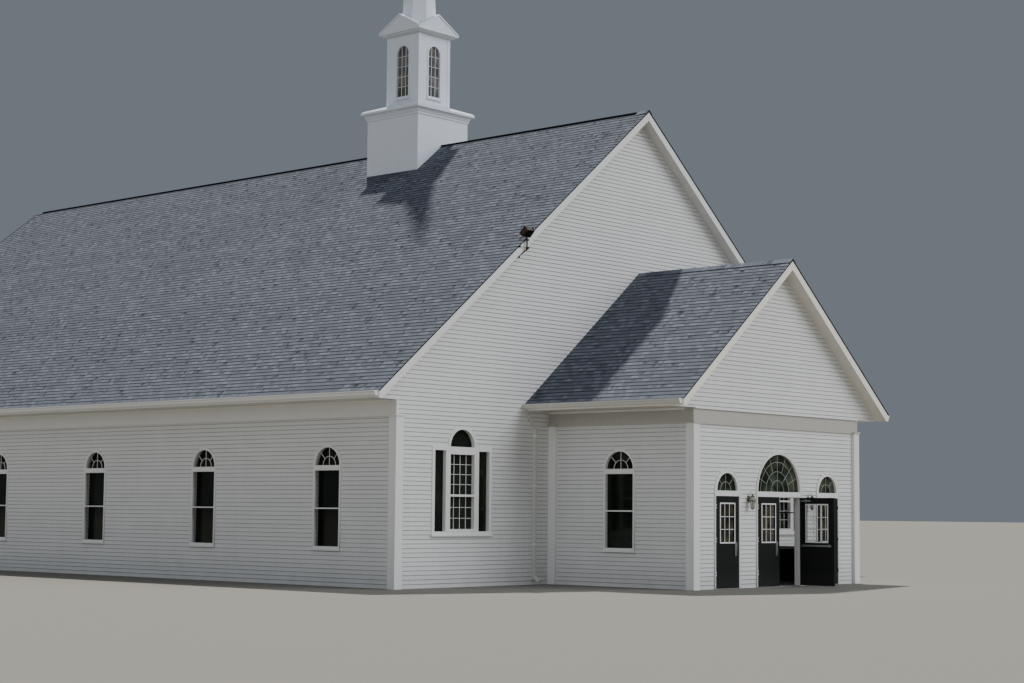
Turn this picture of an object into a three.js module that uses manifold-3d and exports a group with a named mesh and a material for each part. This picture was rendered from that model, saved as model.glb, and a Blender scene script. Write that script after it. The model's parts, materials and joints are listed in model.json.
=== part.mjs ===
// A small white clapboard church: an entrance porch with three doorways, a long nave
// behind it and a steeple astride the nave's ridge. Millimetres, +Z up. The origin is
// on the ground in the middle of the entrance, on the plane of the porch's siding;
// +Y runs into the building and +X to the right as one faces it.
import * as THREE from 'three';
import { mergeVertices } from 'three/addons/utils/BufferGeometryUtils.js';
import Module from 'manifold-3d';

const wasm = await Module();
wasm.setup();

// Gap between neighbours that only rest on each other
const seat = 0.3125;
// Overlap of pieces joined into one, and reach of a cutter past a face
const bite = 1;
const deepBite = 5;
// Rise of every roof for one unit of run
const roofSlope = 0.81;
const roofDepth = 200;
const boardDepth = 12;
const wallDepth = 140;
const trimBoard = 25;
const floorTop = 12;

const porch = {
  half: 3475, front: 0, ridge: 7900, roofHalf: 4410, rake: -425, soffit: 4160, gableFace: -70,
};
const nave = {
  half: 8750, front: 4310, rear: 31100, ridge: 12160, roofHalf: 9600, rakeReach: 320, soffit: 4216,
};
nave.rake = nave.front - nave.rakeReach;
const rakeDrop = 250;
const rakeFoot = 10;
const soffitDepth = 20;

// Corner boards stand prouder than the frieze that they carry
const cornerBoard = { width: 230, proud: 75, capProud: 100, capDepth: 45, capOver: 25 };
const frieze = { height: 360, proud: 45 };
const bedMould = { height: 50, proud: 30, bed: 10, inset: 40 };
const gutter = { width: 125, height: 110, sheet: 8, drop: 18, inset: 40, wallGap: 30 };
const downspout = {
  width: 80, depth: 62, x: 4060, bottom: 150, bend: 3720, outlet: 0.4, drop: 60, slant: 20,
};
// The kick at a downspout's foot, as offsets from the foot's front edge
const kickPoints = [[0, 60], [-160, -40], [-130, -90], [52, -10], [52, 60]];

const doorHead = 2150;
const archSpring = 2274;
const leafDepth = 45;
const leafFace = -18;
const leafBottom = 18;
const leafTop = 2144;
const frameFront = -20;
const stopWidth = 15;
const stopFace = 33;
const hingeGap = 4;
const freeGap = 10;
const frameSeat = 0.5;
const openAngle = 97;
const singleDoor = { centre: 2150, leaf: 914, frameHalf: 500, glassRadius: 415 };
const doubleDoor = { centre: 0, leaf: 907, frameHalf: 955, glassRadius: 900 };
const doorLite = { width: 550, bottom: 1080, top: 1965, sheet: 6 };
// Each hinge: an inner knuckle on the leaf, turning on a pin held by two knuckles of the frame
const knuckle = {
  radius: 8, pin: 4, bore: 4.4, height: 100, third: 33, play: 1, forward: 12, plate: 32, plateDepth: 6,
  heights: [300, 1080, 1860],
};
const exitBar = { bottom: 950, top: 1010, reach: 75, length: 780, bracket: 95, bar: 35, inset: 8 };
const pull = {
  bottom: 750, top: 1085, inset: 140, stand: 45, grip: 22, spindle: 16, plate: 4, plateHalf: 22, plateOver: 12,
};
const fanlightGlass = { front: 45, sheet: 6 };

// Side windows of the porch and the nave: an arched light over two sashes
const sideWindow = {
  frameHalf: 460, glassHalf: 412, spring: 2770, bottom: 840, glassBottom: 910,
  lowerTop: 1765, upperBottom: 1795, upperTop: 2650, proud: 20, depth: 65, sheet: 6, sheetMargin: 30,
};
const naveWindowCount = 6;
const naveGlass = { inset: 100, lap: 40 };
const porchWindowY = 2150;

// Three-part window, one on each side of the porch: two sashes under a half-round light,
// with a narrow light at each side
const threeLight = {
  centre: 6595, half: 1000, middleHalf: 485, bottom: 1190, shoulder: 3220, middleGlass: 405,
  lowerBottom: 1330, lowerTop: 2074, upperBottom: 2124, upperTop: 3045,
  sideInner: 555, sideOuter: 915, sideBottom: 1275, sideTop: 3130,
  proud: 20, depth: 80, sheet: 6, sheetMargin: 30,
};

const steeple = { y: 12456, baseHalf: 1023, baseSkin: 60, baseFoot: 10500, baseTop: 12950 };
const belfryShape = { half: 635, skin: 50, foot: 13400, head: 15410, post: 110, postProud: 12 };
const belfryWindow = { half: 237, bottom: 13630, spring: 14873, sheet: 6, margin: 60 };
const spireShape = { foot: 15700, radius: 552, tip: 23600, tipRadius: 12, sides: 8 };
// Half widths and heights of the moulding over the steeple's base, with the slope up to the belfry
const cornicePoints = [
  [963, 12950], [1046, 12950], [1046, 13008], [1062, 13016], [1076, 13058], [1102, 13094],
  [1108, 13120], [1170, 13124], [1170, 13182], [1122, 13235], [655, 13400], [575, 13400],
  [575, 13330], [925, 13200], [963, 13140],
];
// The same for the moulding under the four pediments
const entablaturePoints = [
  [575, 15410], [662, 15410], [678, 15424], [708, 15432], [744, 15458], [764, 15488],
  [820, 15494], [820, 15530], [730, 15530], [575, 15450],
];
// Four closed pediments, each with a sunk triangle between its mouldings
const pediment = { half: 820, floor: 15520, side: 15577, apex: 16035, shell: 60, sunk: 20, rim: 48, sill: 25 };
const vent = { half: 75, crown: 18, edge: 6, front: 4360, rear: 31050 };

const wallWhite = { color: 0xe4e4e2, roughness: 0.6, metalness: 0 };
const trimWhite = { color: 0xf0f0ec, roughness: 0.45, metalness: 0 };
const shingle = { color: 0x4a505b, roughness: 0.95, metalness: 0 };
const concrete = { color: 0x9b978f, roughness: 0.9, metalness: 0 };
const doorPaint = { color: 0x151a19, roughness: 0.4, metalness: 0 };
const clearGlass = { color: 0x2a3330, roughness: 0.05, metalness: 0, transparent: true, opacity: 0.35 };
const satinMetal = { color: 0x9a9b9c, roughness: 0.35, metalness: 1 };
const pewter = { color: 0x8d8a80, roughness: 0.4, metalness: 0.8 };
const bronze = { color: 0x3a2a22, roughness: 0.5, metalness: 0.4 };
const ventBlack = { color: 0x17181a, roughness: 0.8, metalness: 0 };

const building = new THREE.Group();

// Solids and their geometries

const acrossFrame = new THREE.Matrix4().makeBasis(
  new THREE.Vector3(1, 0, 0), new THREE.Vector3(0, 0, 1), new THREE.Vector3(0, -1, 0));
const alongFrame = new THREE.Matrix4().makeBasis(
  new THREE.Vector3(0, 1, 0), new THREE.Vector3(0, 0, 1), new THREE.Vector3(1, 0, 0));

function extrude(shape, depth, arcSteps = 16) {
  const plate = (path, z0, z1) => new THREE.ExtrudeGeometry(new THREE.Shape(path.getPoints(arcSteps)),
    { depth: z1 - z0, bevelEnabled: false }).translate(0, 0, z0);
  const whole = plate(shape, 0, depth);
  return shape.holes.length ? cut(whole, ...shape.holes.map((hole) => plate(hole, -1, depth + 1))) : whole;
}

// An outline in X and Z, given thickness along Y from y0 to y1
function acrossPlate(shape, y0, y1, arcSteps) {
  return extrude(shape, y1 - y0, arcSteps).applyMatrix4(acrossFrame).translate(0, y1, 0);
}

// An outline in Y and Z, given thickness along X from x0 to x1
function alongPlate(shape, x0, x1, arcSteps) {
  return extrude(shape, x1 - x0, arcSteps).applyMatrix4(alongFrame).translate(x0, 0, 0);
}

function outline(points, holes = []) {
  const shape = new THREE.Shape(points.map(([a, b]) => new THREE.Vector2(a, b)));
  shape.holes.push(...holes);
  return shape;
}

function box(x0, x1, y0, y1, z0, z1) {
  const geometry = new THREE.BoxGeometry(Math.abs(x1 - x0), Math.abs(y1 - y0), Math.abs(z1 - z0));
  return geometry.translate((x0 + x1) / 2, (y0 + y1) / 2, (z0 + z1) / 2);
}

function toSolid(geometry) {
  const bare = geometry.clone();
  bare.deleteAttribute('normal');
  bare.deleteAttribute('uv');
  const merged = mergeVertices(bare, 1e-3);
  const triVerts = new Uint32Array(merged.index.array);
  return new wasm.Manifold(new wasm.Mesh({
    numProp: 3, vertProperties: new Float32Array(merged.attributes.position.array), triVerts,
  }));
}

function toGeometry(solid) {
  const mesh = solid.getMesh();
  const geometry = new THREE.BufferGeometry();
  geometry.setAttribute('position', new THREE.BufferAttribute(new Float32Array(mesh.vertProperties), 3));
  geometry.setIndex(new THREE.BufferAttribute(new Uint32Array(mesh.triVerts), 1));
  const flat = geometry.toNonIndexed();
  flat.computeVertexNormals();
  return flat;
}

function join(...geometries) {
  const [first, ...rest] = geometries.map(toSolid);
  return toGeometry(rest.reduce((sum, next) => sum.add(next), first));
}

function cut(geometry, ...tools) {
  return toGeometry(tools.map(toSolid).reduce((left, tool) => left.subtract(tool), toSolid(geometry)));
}

// A square or many-sided moulding: a closed profile of [half width, height] turned about Z
function turned(profile, sides, closed = true) {
  const reach = 1 / Math.cos(Math.PI / sides);
  const points = profile.map(([r, z]) => new THREE.Vector2(r * reach, z));
  if (closed) points.push(points[0].clone());
  const geometry = new THREE.LatheGeometry(points, sides);
  geometry.rotateX(Math.PI / 2).rotateZ(Math.PI / sides);
  return geometry;
}

function addPart(name, geometry, finish, parent = building) {
  const mesh = new THREE.Mesh(geometry, new THREE.MeshStandardMaterial(finish));
  mesh.name = name;
  parent.add(mesh);
  return mesh;
}

// Mirrored copies: side -1 is left, +1 is right
const sides = [{ name: 'left', sign: -1 }, { name: 'right', sign: 1 }];

function span(sign, inner, outer) {
  return sign < 0 ? [-outer, -inner] : [inner, outer];
}

function sideBox(sign, inner, outer, y0, y1, z0, z1) {
  const [x0, x1] = span(sign, inner, outer);
  return box(x0, x1, y0, y1, z0, z1);
}

function mirrored(sign, points) {
  return points.map(([x, z]) => [x * sign, z]);
}

// Openings with a half-round head

function archedPath(centre, half, bottom, spring) {
  const path = new THREE.Path();
  path.moveTo(centre - half, bottom);
  path.lineTo(centre + half, bottom);
  path.lineTo(centre + half, spring);
  path.absarc(centre, spring, half, 0, Math.PI, false);
  path.closePath();
  return path;
}

function archedShape(centre, half, bottom, spring) {
  const shape = new THREE.Shape();
  shape.curves = archedPath(centre, half, bottom, spring).curves;
  shape.currentPoint.set(centre - half, bottom);
  return shape;
}

function rectanglePath(a0, a1, b0, b1) {
  const path = new THREE.Path();
  path.moveTo(a0, b0);
  path.lineTo(a1, b0);
  path.lineTo(a1, b1);
  path.lineTo(a0, b1);
  path.closePath();
  return path;
}

function halfRoundPath(centre, radius, spring) {
  const path = new THREE.Path();
  path.moveTo(centre + radius, spring);
  path.absarc(centre, spring, radius, 0, Math.PI, false);
  path.closePath();
  return path;
}

// Roof lines

function roofTop(ridge, x) {
  return ridge - roofSlope * Math.abs(x);
}

function roofUnder(ridge, x) {
  return roofTop(ridge, x) - roofDepth;
}

// Where a line that lies drop below the roof's top comes down to height z
function runTo(ridge, drop, z) {
  return (ridge - drop - z) / roofSlope;
}

// One slope of a roof, with its eave cut plumb and its underside cut level over the soffit
function roofSlab(sign, block, y0, y1) {
  const eave = block.roofHalf - trimBoard - seat;
  const level = block.soffit + soffitDepth + seat;
  return acrossPlate(outline(mirrored(sign, [
    [seat, roofTop(block.ridge, 0)], [eave, roofTop(block.ridge, eave)], [eave, level],
    [runTo(block.ridge, roofDepth, level), level], [seat, roofUnder(block.ridge, 0)],
  ])), y0, y1);
}

// Barge boards of both slopes, meeting at the apex, and the sloping soffit behind them
function rakeBoards(block, y0, y1, soffit0, soffit1) {
  const { ridge, roofHalf } = block;
  const foot = block.soffit - rakeFoot;
  const boards = outline([
    [0, ridge], [roofHalf, roofTop(ridge, roofHalf)], [roofHalf, foot],
    [runTo(ridge, rakeDrop, foot), foot], [0, ridge - rakeDrop], [-runTo(ridge, rakeDrop, foot), foot],
    [-roofHalf, foot], [-roofHalf, roofTop(ridge, roofHalf)],
  ]);
  const top = roofDepth + seat;
  const under = top + soffitDepth;
  const level = block.soffit + seat;
  const lining = outline([
    [0, ridge - top], [runTo(ridge, top, level), level], [runTo(ridge, under, level), level],
    [0, ridge - under], [-runTo(ridge, under, level), level], [-runTo(ridge, top, level), level],
  ]);
  return [acrossPlate(boards, y0, y1), acrossPlate(lining, soffit0, soffit1)];
}

// Fascia board and level soffit of one eave; the soffit runs only between the gables
function eaveBoards(sign, block, wallFace, fascia0, fascia1, soffit0, soffit1) {
  const inner = block.roofHalf - trimBoard;
  const top = roofTop(block.ridge, block.roofHalf);
  return [
    sideBox(sign, inner, block.roofHalf, fascia0, fascia1, block.soffit, top),
    sideBox(sign, wallFace + seat, inner + bite, soffit0, soffit1, block.soffit, block.soffit + soffitDepth),
  ];
}

// An open trough with an ogee-like front, hung on the fascia
function gutterTrough(sign, block, y0, y1) {
  const { width, height, sheet } = gutter;
  const back = block.roofHalf + seat;
  const top = roofTop(block.ridge, block.roofHalf) - gutter.drop;
  const bottom = top - height;
  return acrossPlate(outline(mirrored(sign, [
    [back, top], [back, bottom],
    [back + width * 0.62, bottom], [back + width * 0.78, bottom + height * 0.3],
    [back + width * 0.9, bottom + height * 0.62], [back + width, bottom + height * 0.72],
    [back + width, top], [back + width - sheet, top], [back + width - sheet, bottom + height * 0.8],
    [back + width * 0.85 - sheet, bottom + height * 0.66], [back + width * 0.72 - sheet, bottom + height * 0.36],
    [back + width * 0.58, bottom + sheet], [back + sheet, bottom + sheet], [back + sheet, top],
  ])), y0, y1);
}

// Floor: one slab inside the walls, with a tongue through each doorway

function makeFloor() {
  const porchIn = porch.half - boardDepth - wallDepth - seat;
  const naveIn = nave.half - boardDepth - wallDepth - seat;
  const doorIn = boardDepth + wallDepth + seat;
  const naveFace = nave.front + boardDepth;
  const naveIn0 = naveFace + wallDepth + seat;
  const naveIn1 = nave.rear - boardDepth - wallDepth - seat;
  const passage = doubleDoor.frameHalf;
  const pieces = [
    box(-porchIn, porchIn, doorIn, naveFace - seat, 0, floorTop),
    box(-passage, passage, doorIn, naveIn0 + bite, 0, floorTop),
    box(-naveIn, naveIn, naveIn0, naveIn1, 0, floorTop),
  ];
  for (const [centre, half] of doorways()) {
    pieces.push(box(centre - half + seat, centre + half - seat, frameFront, doorIn + bite, 0, floorTop));
  }
  addPart('floor', join(...pieces), concrete);
}

// Centre and clear half width of each doorway
function doorways() {
  const single = (singleDoor.leaf + hingeGap + freeGap) / 2;
  const double = doubleDoor.leaf + hingeGap + freeGap / 2;
  return [[-singleDoor.centre, single], [0, double], [singleDoor.centre, single]];
}

// Porch walls

function makePorchWalls() {
  const face = porch.half - boardDepth;
  const inner = face - wallDepth;
  const front = porch.front + boardDepth;
  const back = nave.front + boardDepth - seat;
  const jamb = singleDoor.centre + singleDoor.frameHalf + frameSeat;
  const w = sideWindow;
  const opening = archedShape(porchWindowY, w.frameHalf + frameSeat, w.bottom, w.spring);
  for (const { name, sign } of sides) {
    const section = outline(mirrored(sign, [
      [face, 0], [face, roofUnder(porch.ridge, face) - seat],
      [inner, roofUnder(porch.ridge, inner) - seat], [inner, 0],
    ]));
    const corner = sideBox(sign, inner, face + bite, front - bite, front + wallDepth, doorHead, porch.ridge);
    const end = sideBox(sign, jamb, face, front, front + wallDepth, 0, doorHead);
    const hole = alongPlate(opening, ...span(sign, inner - bite, face + bite));
    addPart(`porch_${name}_wall`, join(cut(acrossPlate(section, front, back), hole, corner), end), wallWhite);
    const pier = sideBox(sign, doubleDoor.frameHalf + frameSeat,
      singleDoor.centre - singleDoor.frameHalf - frameSeat, front, front + wallDepth, 0, doorHead);
    addPart(`porch_${name}_pier`, pier, wallWhite);
  }

  // The wall over the doorways, cut by three arches, and the prouder gable on top of it
  const shape = new THREE.Shape();
  shape.moveTo(-face, doorHead);
  for (const [centre, half] of archNotches()) {
    shape.lineTo(centre - half, doorHead);
    shape.lineTo(centre - half, archSpring);
    shape.absarc(centre, archSpring, half, Math.PI, 0, true);
    shape.lineTo(centre + half, doorHead);
  }
  shape.lineTo(face, doorHead);
  shape.lineTo(face, roofUnder(porch.ridge, face) - seat);
  shape.lineTo(0, roofUnder(porch.ridge, 0) - seat);
  shape.lineTo(-face, roofUnder(porch.ridge, face) - seat);
  shape.closePath();
  const foot = runTo(porch.ridge, roofDepth + seat, porch.soffit);
  const wing = outline([
    [-foot, porch.soffit], [foot, porch.soffit], [0, roofUnder(porch.ridge, 0) - seat],
  ]);
  const wall = acrossPlate(shape, front, front + wallDepth, 20);
  const gable = acrossPlate(wing, porch.gableFace + boardDepth, front + wallDepth);
  addPart('porch_gable_wall', join(wall, gable), wallWhite);
}

function archNotches() {
  const single = singleDoor.frameHalf + frameSeat;
  return [[-singleDoor.centre, single], [0, doubleDoor.frameHalf + frameSeat], [singleDoor.centre, single]];
}

// Frieze and corner boards of the porch: boards on the wall, joined where they meet

function makePorchTrim() {
  const face = porch.half - boardDepth + seat;
  const front = boardDepth - seat;
  const rear = nave.front - seat;
  const outer = porch.half + frieze.proud;
  const friezeBottom = porch.soffit - frieze.height;
  const top = porch.soffit - seat;
  const { capOver } = cornerBoard;
  const boards = [box(-outer, outer, -frieze.proud, front, friezeBottom, top)];
  for (const { sign } of sides) {
    const board = porch.half + cornerBoard.proud;
    const cap = porch.half + cornerBoard.capProud;
    const capTop = friezeBottom + cornerBoard.capDepth;
    const frontInner = board - cornerBoard.width;
    const sideBack = cornerBoard.width - cornerBoard.proud;
    boards.push(
      sideBox(sign, face, outer, -frieze.proud, rear, friezeBottom, top),
      sideBox(sign, frontInner, board, -cornerBoard.proud, front, 0, friezeBottom + bite),
      sideBox(sign, face, board, -cornerBoard.proud, sideBack, 0, friezeBottom + bite),
      sideBox(sign, face, board, rear - cornerBoard.width, rear, 0, friezeBottom + bite),
      sideBox(sign, frontInner - capOver, cap, -cornerBoard.capProud, front, friezeBottom, capTop),
      sideBox(sign, face, cap, -cornerBoard.capProud, sideBack + capOver, friezeBottom, capTop),
      sideBox(sign, face, cap, rear - cornerBoard.width - capOver, rear, friezeBottom, capTop),
    );
  }
  addPart('porch_trim', join(...boards), trimWhite);
}

function makePorchRoof() {
  const wallLine = nave.front + boardDepth - seat;
  const slabFront = porch.rake + trimBoard + seat;
  const boardBack = porch.rake + trimBoard;
  const gableBack = porch.gableFace + boardDepth - seat;
  const trim = rakeBoards(porch, porch.rake, boardBack, boardBack - deepBite, gableBack);
  for (const { name, sign } of sides) {
    addPart(`porch_roof_${name}`, roofSlab(sign, porch, slabFront, wallLine), shingle);
    trim.push(...eaveBoards(sign, porch, porch.half - boardDepth, boardBack - bite, nave.front - seat,
      boardDepth + wallDepth + seat, nave.front - seat));
    const trough = gutterTrough(sign, porch, porch.rake + gutter.inset, nave.front - gutter.wallGap);
    addPart(`porch_gutter_${name}`, join(trough, ...downspoutRuns(sign)), trimWhite);
  }
  addPart('porch_eaves_and_rakes', join(...trim), trimWhite);
}

// The downspout leaves the gutter at its rear end, steps back and runs down the nave's front wall
function downspoutRuns(sign) {
  const { width, depth, x, bottom, bend, slant } = downspout;
  const y1 = nave.front - seat;
  const outlet = porch.roofHalf + gutter.width * downspout.outlet;
  const gutterBottom = roofTop(porch.ridge, porch.roofHalf) - gutter.drop - gutter.height;
  const mouth = gutterBottom + gutter.sheet / 2;
  const outletBottom = gutterBottom - downspout.drop;
  const half = width / 2;
  const run = outline(mirrored(sign, [
    [outlet - half, mouth], [outlet - half, outletBottom], [x - half, bend], [x - half, bottom],
    [x + half, bottom], [x + half, bend + slant],
    [outlet + half, outletBottom + slant], [outlet + half, mouth],
  ]));
  const kick = outline(kickPoints.map(([y, z]) => [y1 - depth + y, bottom + z]));
  return [acrossPlate(run, y1 - depth, y1), alongPlate(kick, ...span(sign, x - half, x + half))];
}

// Windows with an arched head over two sashes, facing left or right

function sideWindowFrame(y) {
  const w = sideWindow;
  const shape = archedShape(y, w.frameHalf, w.bottom + seat, w.spring);
  shape.holes.push(
    halfRoundPath(y, w.glassHalf, w.spring),
    rectanglePath(y - w.glassHalf, y + w.glassHalf, w.upperBottom, w.upperTop),
    rectanglePath(y - w.glassHalf, y + w.glassHalf, w.glassBottom, w.lowerTop),
  );
  return shape;
}

function makePorchWindows() {
  const w = sideWindow;
  for (const { name, sign } of sides) {
    const frame = alongPlate(sideWindowFrame(porchWindowY),
      ...span(sign, porch.half - w.depth, porch.half + w.proud));
    addPart(`porch_window_frame_${name}`, frame, trimWhite);
    const pane = archedShape(porchWindowY, w.frameHalf - w.sheetMargin, w.bottom + w.sheetMargin, w.spring);
    const back = porch.half - w.depth - seat;
    addPart(`porch_window_glass_${name}`, alongPlate(pane, ...span(sign, back - w.sheet, back)), clearGlass);
  }
}

// Doorways: an arched frame with a transom bar, and the glass of the fanlight

function makeDoorFrame(name, door, centre, clearHalf, hingeSides) {
  const half = door.frameHalf;
  const back = boardDepth + wallDepth;
  const frameShape = (inner, head) => {
    const shape = new THREE.Shape();
    shape.moveTo(centre + inner, floorTop + seat);
    shape.lineTo(centre + half, floorTop + seat);
    shape.lineTo(centre + half, archSpring);
    shape.absarc(centre, archSpring, half, 0, Math.PI, false);
    shape.lineTo(centre - half, floorTop + seat);
    shape.lineTo(centre - inner, floorTop + seat);
    shape.lineTo(centre - inner, head);
    shape.lineTo(centre + inner, head);
    shape.closePath();
    shape.holes.push(halfRoundPath(centre, door.glassRadius, archSpring));
    return shape;
  };
  const front = acrossPlate(frameShape(clearHalf, doorHead), frameFront, stopFace + deepBite, 20);
  const stop = acrossPlate(frameShape(clearHalf - stopWidth, doorHead - stopWidth), stopFace, back, 20);
  const pins = hingeSides.flatMap((sign) => framePins(centre + sign * (clearHalf - hingeGap / 2), sign));
  addPart(`${name}_door_frame`, join(front, stop, ...pins), trimWhite);

  const pane = new THREE.Shape();
  const radius = door.glassRadius - 2 * frameSeat;
  pane.moveTo(centre + radius, archSpring + frameSeat);
  pane.absarc(centre, archSpring + frameSeat, radius, 0, Math.PI, false);
  pane.closePath();
  const { front: y0, sheet } = fanlightGlass;
  addPart(`${name}_fanlight_glass`, acrossPlate(pane, y0, y0 + sheet, 20), clearGlass);
}

// The fixed half of each hinge: a plate on the casing, two knuckles and the pin between them
function framePins(x, sign) {
  const { radius, pin, height, third, forward, plate, plateDepth, heights } = knuckle;
  const y = leafFace - forward;
  const rod = (r, z0, z1) => new THREE.CylinderGeometry(r, r, z1 - z0, 16)
    .rotateX(Math.PI / 2).translate(x, y, (z0 + z1) / 2);
  const half = (z0, z1) => [
    rod(radius, z0, z1), box(x, x + sign * plate, frameFront - plateDepth, frameFront + bite, z0, z1),
  ];
  return heights.flatMap((z) => [
    rod(pin, z + bite, z + height - bite), ...half(z, z + third), ...half(z + height - third, z + height),
  ]);
}

// Door leaves. Each is drawn closed, with its hinge edge at the pin and its free edge
// towards +X times the side it closes to, and is then turned about its pin.

function makeLeaf(name, pinX, closesTo, width, turn) {
  const pinY = leafFace - knuckle.forward;
  const edge = hingeGap / 2;
  const middle = edge + width / 2;
  const glass0 = middle - doorLite.width / 2;
  const glass1 = glass0 + doorLite.width;
  const face = knuckle.forward;
  const x = (a) => a * closesTo;
  const block = (a0, a1, y0, y1, z0, z1) => box(x(a0), x(a1), y0, y1, z0, z1);

  const slab = cut(
    block(edge, edge + width, face, face + leafDepth, leafBottom, leafTop),
    block(glass0, glass1, face - bite, face + leafDepth + bite, doorLite.bottom, doorLite.top),
    spindle(edge + width - pull.inset, pull.spindle / 2 + seat, face - bite, face + leafDepth + bite, x),
  );
  const turning = (z, r, length) => new THREE.CylinderGeometry(r, r, length, 16)
    .rotateX(Math.PI / 2).translate(0, 0, z + knuckle.height / 2);
  const hinges = knuckle.heights.flatMap((z) => [
    turning(z, knuckle.radius, knuckle.height - 2 * (knuckle.third + knuckle.play)),
    block(0, knuckle.plate, face - knuckle.plateDepth, face + bite, z + knuckle.third + knuckle.play,
      z + knuckle.height - knuckle.third - knuckle.play),
  ]);
  const bores = knuckle.heights.map((z) => turning(z, knuckle.bore, knuckle.height));

  const hinge = new THREE.Group();
  hinge.position.set(pinX, pinY, 0);
  hinge.rotation.z = THREE.MathUtils.degToRad(turn);
  building.add(hinge);
  addPart(name, cut(join(slab, ...hinges), ...bores), doorPaint, hinge);

  const paneY = face + (leafDepth - doorLite.sheet) / 2;
  addPart(`${name}_glass`, block(glass0 + seat, glass1 - seat, paneY, paneY + doorLite.sheet,
    doorLite.bottom + seat, doorLite.top - seat), clearGlass, hinge);
  const fittings = makeFittings(edge + width - pull.inset, middle, face, block, x);
  addPart(`${name}_fittings`, fittings, satinMetal, hinge);
}

function spindle(at, half, y0, y1, x) {
  const z = (exitBar.bottom + exitBar.top) / 2;
  return box(x(at) - half, x(at) + half, y0, y1, z - half, z + half);
}

// A pull on its plate outside and an exit bar inside, held together by a spindle through the leaf
function makeFittings(at, middle, face, block, x) {
  const back = face + leafDepth;
  const grip = pull.grip / 2;
  const front = face - pull.stand;
  const plate = face - pull.plate;
  const barHalf = exitBar.length / 2;
  return join(
    spindle(at, pull.spindle / 2, face - deepBite, back + deepBite, x),
    block(at - grip, at + grip, front, front + pull.grip, pull.bottom, pull.top),
    block(at - grip, at + grip, front, plate + bite, pull.bottom, pull.bottom + pull.grip),
    block(at - grip, at + grip, front, plate + bite, pull.top - pull.grip, pull.top),
    block(at - pull.plateHalf, at + pull.plateHalf, plate, face - seat, pull.bottom - pull.plateOver,
      pull.top + pull.plateOver),
    block(middle - barHalf, middle + barHalf, back + exitBar.reach - exitBar.bar, back + exitBar.reach,
      exitBar.bottom + exitBar.inset, exitBar.top - exitBar.inset),
    block(middle - barHalf, middle - barHalf + exitBar.bracket, back + seat, back + exitBar.reach,
      exitBar.bottom, exitBar.top),
    block(middle + barHalf - exitBar.bracket, middle + barHalf, back + seat, back + exitBar.reach,
      exitBar.bottom, exitBar.top),
  );
}

function makeDoors() {
  const [leftWay, middleWay] = doorways();
  makeDoorFrame('left', singleDoor, -singleDoor.centre, leftWay[1], [-1]);
  makeDoorFrame('centre', doubleDoor, 0, middleWay[1], [-1, 1]);
  makeDoorFrame('right', singleDoor, singleDoor.centre, leftWay[1], [1]);
  const singlePin = singleDoor.centre + leftWay[1] - hingeGap / 2;
  const doublePin = middleWay[1] - hingeGap / 2;
  makeLeaf('left_door', -singlePin, 1, singleDoor.leaf, 0);
  makeLeaf('centre_left_door', -doublePin, 1, doubleDoor.leaf, 0);
  makeLeaf('centre_right_door', doublePin, -1, doubleDoor.leaf, openAngle);
  makeLeaf('right_door', singlePin, -1, singleDoor.leaf, 0);
}

// Wall lanterns on the piers between the doors: a back plate, a hooked arm and a tapered body
const lantern = {
  x: 1280, y: -120, hook: 2255, rod: 6, neck: 2195,
  plateHalf: 58, plateDepth: 14, plateBottom: 2020, plateTop: 2170,
};
const lanternProfile = [
  [0, 1835], [9, 1843], [14, 1858], [9, 1872], [44, 1925], [66, 2035], [76, 2040], [76, 2052], [64, 2058],
  [46, 2140], [54, 2146], [26, 2186], [10, 2206], [0, 2208],
];

function makeLanterns() {
  const { y, hook, rod, neck, plateHalf, plateDepth, plateBottom, plateTop } = lantern;
  for (const { name, sign } of sides) {
    const x = lantern.x * sign;
    addPart(`lantern_${name}`, join(
      turned(lanternProfile, 8, false).translate(x, y, 0),
      box(x - plateHalf, x + plateHalf, -plateDepth, boardDepth - seat, plateBottom, plateTop),
      box(x - rod, x + rod, -plateDepth - 2 * rod, bite - plateDepth, plateTop - 2 * rod, hook),
      box(x - rod, x + rod, y - rod, -plateDepth, hook - 2 * rod, hook),
      box(x - rod, x + rod, y - rod, y + rod, neck, hook),
    ), pewter);
  }
}

// Nave

// An end wall of the nave: the gable closes the ends of the boxed eaves too
function naveEndShape(doorway) {
  const face = nave.half - boardDepth;
  const foot = runTo(nave.ridge, roofDepth + seat, nave.soffit);
  const passage = doubleDoor.frameHalf + seat;
  const door = doorway ? [[-passage, 0], [-passage, archSpring], [passage, archSpring], [passage, 0]] : [];
  return outline([
    [-face, 0], ...door, [face, 0], [face, nave.soffit], [foot, nave.soffit],
    [0, roofUnder(nave.ridge, 0) - seat], [-foot, nave.soffit], [-face, nave.soffit],
  ]);
}

function threeLightPath(centre, half, middleHalf, bottom, shoulder) {
  const path = new THREE.Path();
  path.moveTo(centre - half, bottom);
  path.lineTo(centre + half, bottom);
  path.lineTo(centre + half, shoulder);
  path.lineTo(centre + middleHalf, shoulder);
  path.absarc(centre, shoulder, middleHalf, 0, Math.PI, false);
  path.lineTo(centre - half, shoulder);
  path.closePath();
  return path;
}

function naveWindowCentres() {
  const bay = (nave.rear - nave.front) / naveWindowCount;
  return Array.from({ length: naveWindowCount }, (_, i) => nave.front + bay * (i + 0.5));
}

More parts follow.
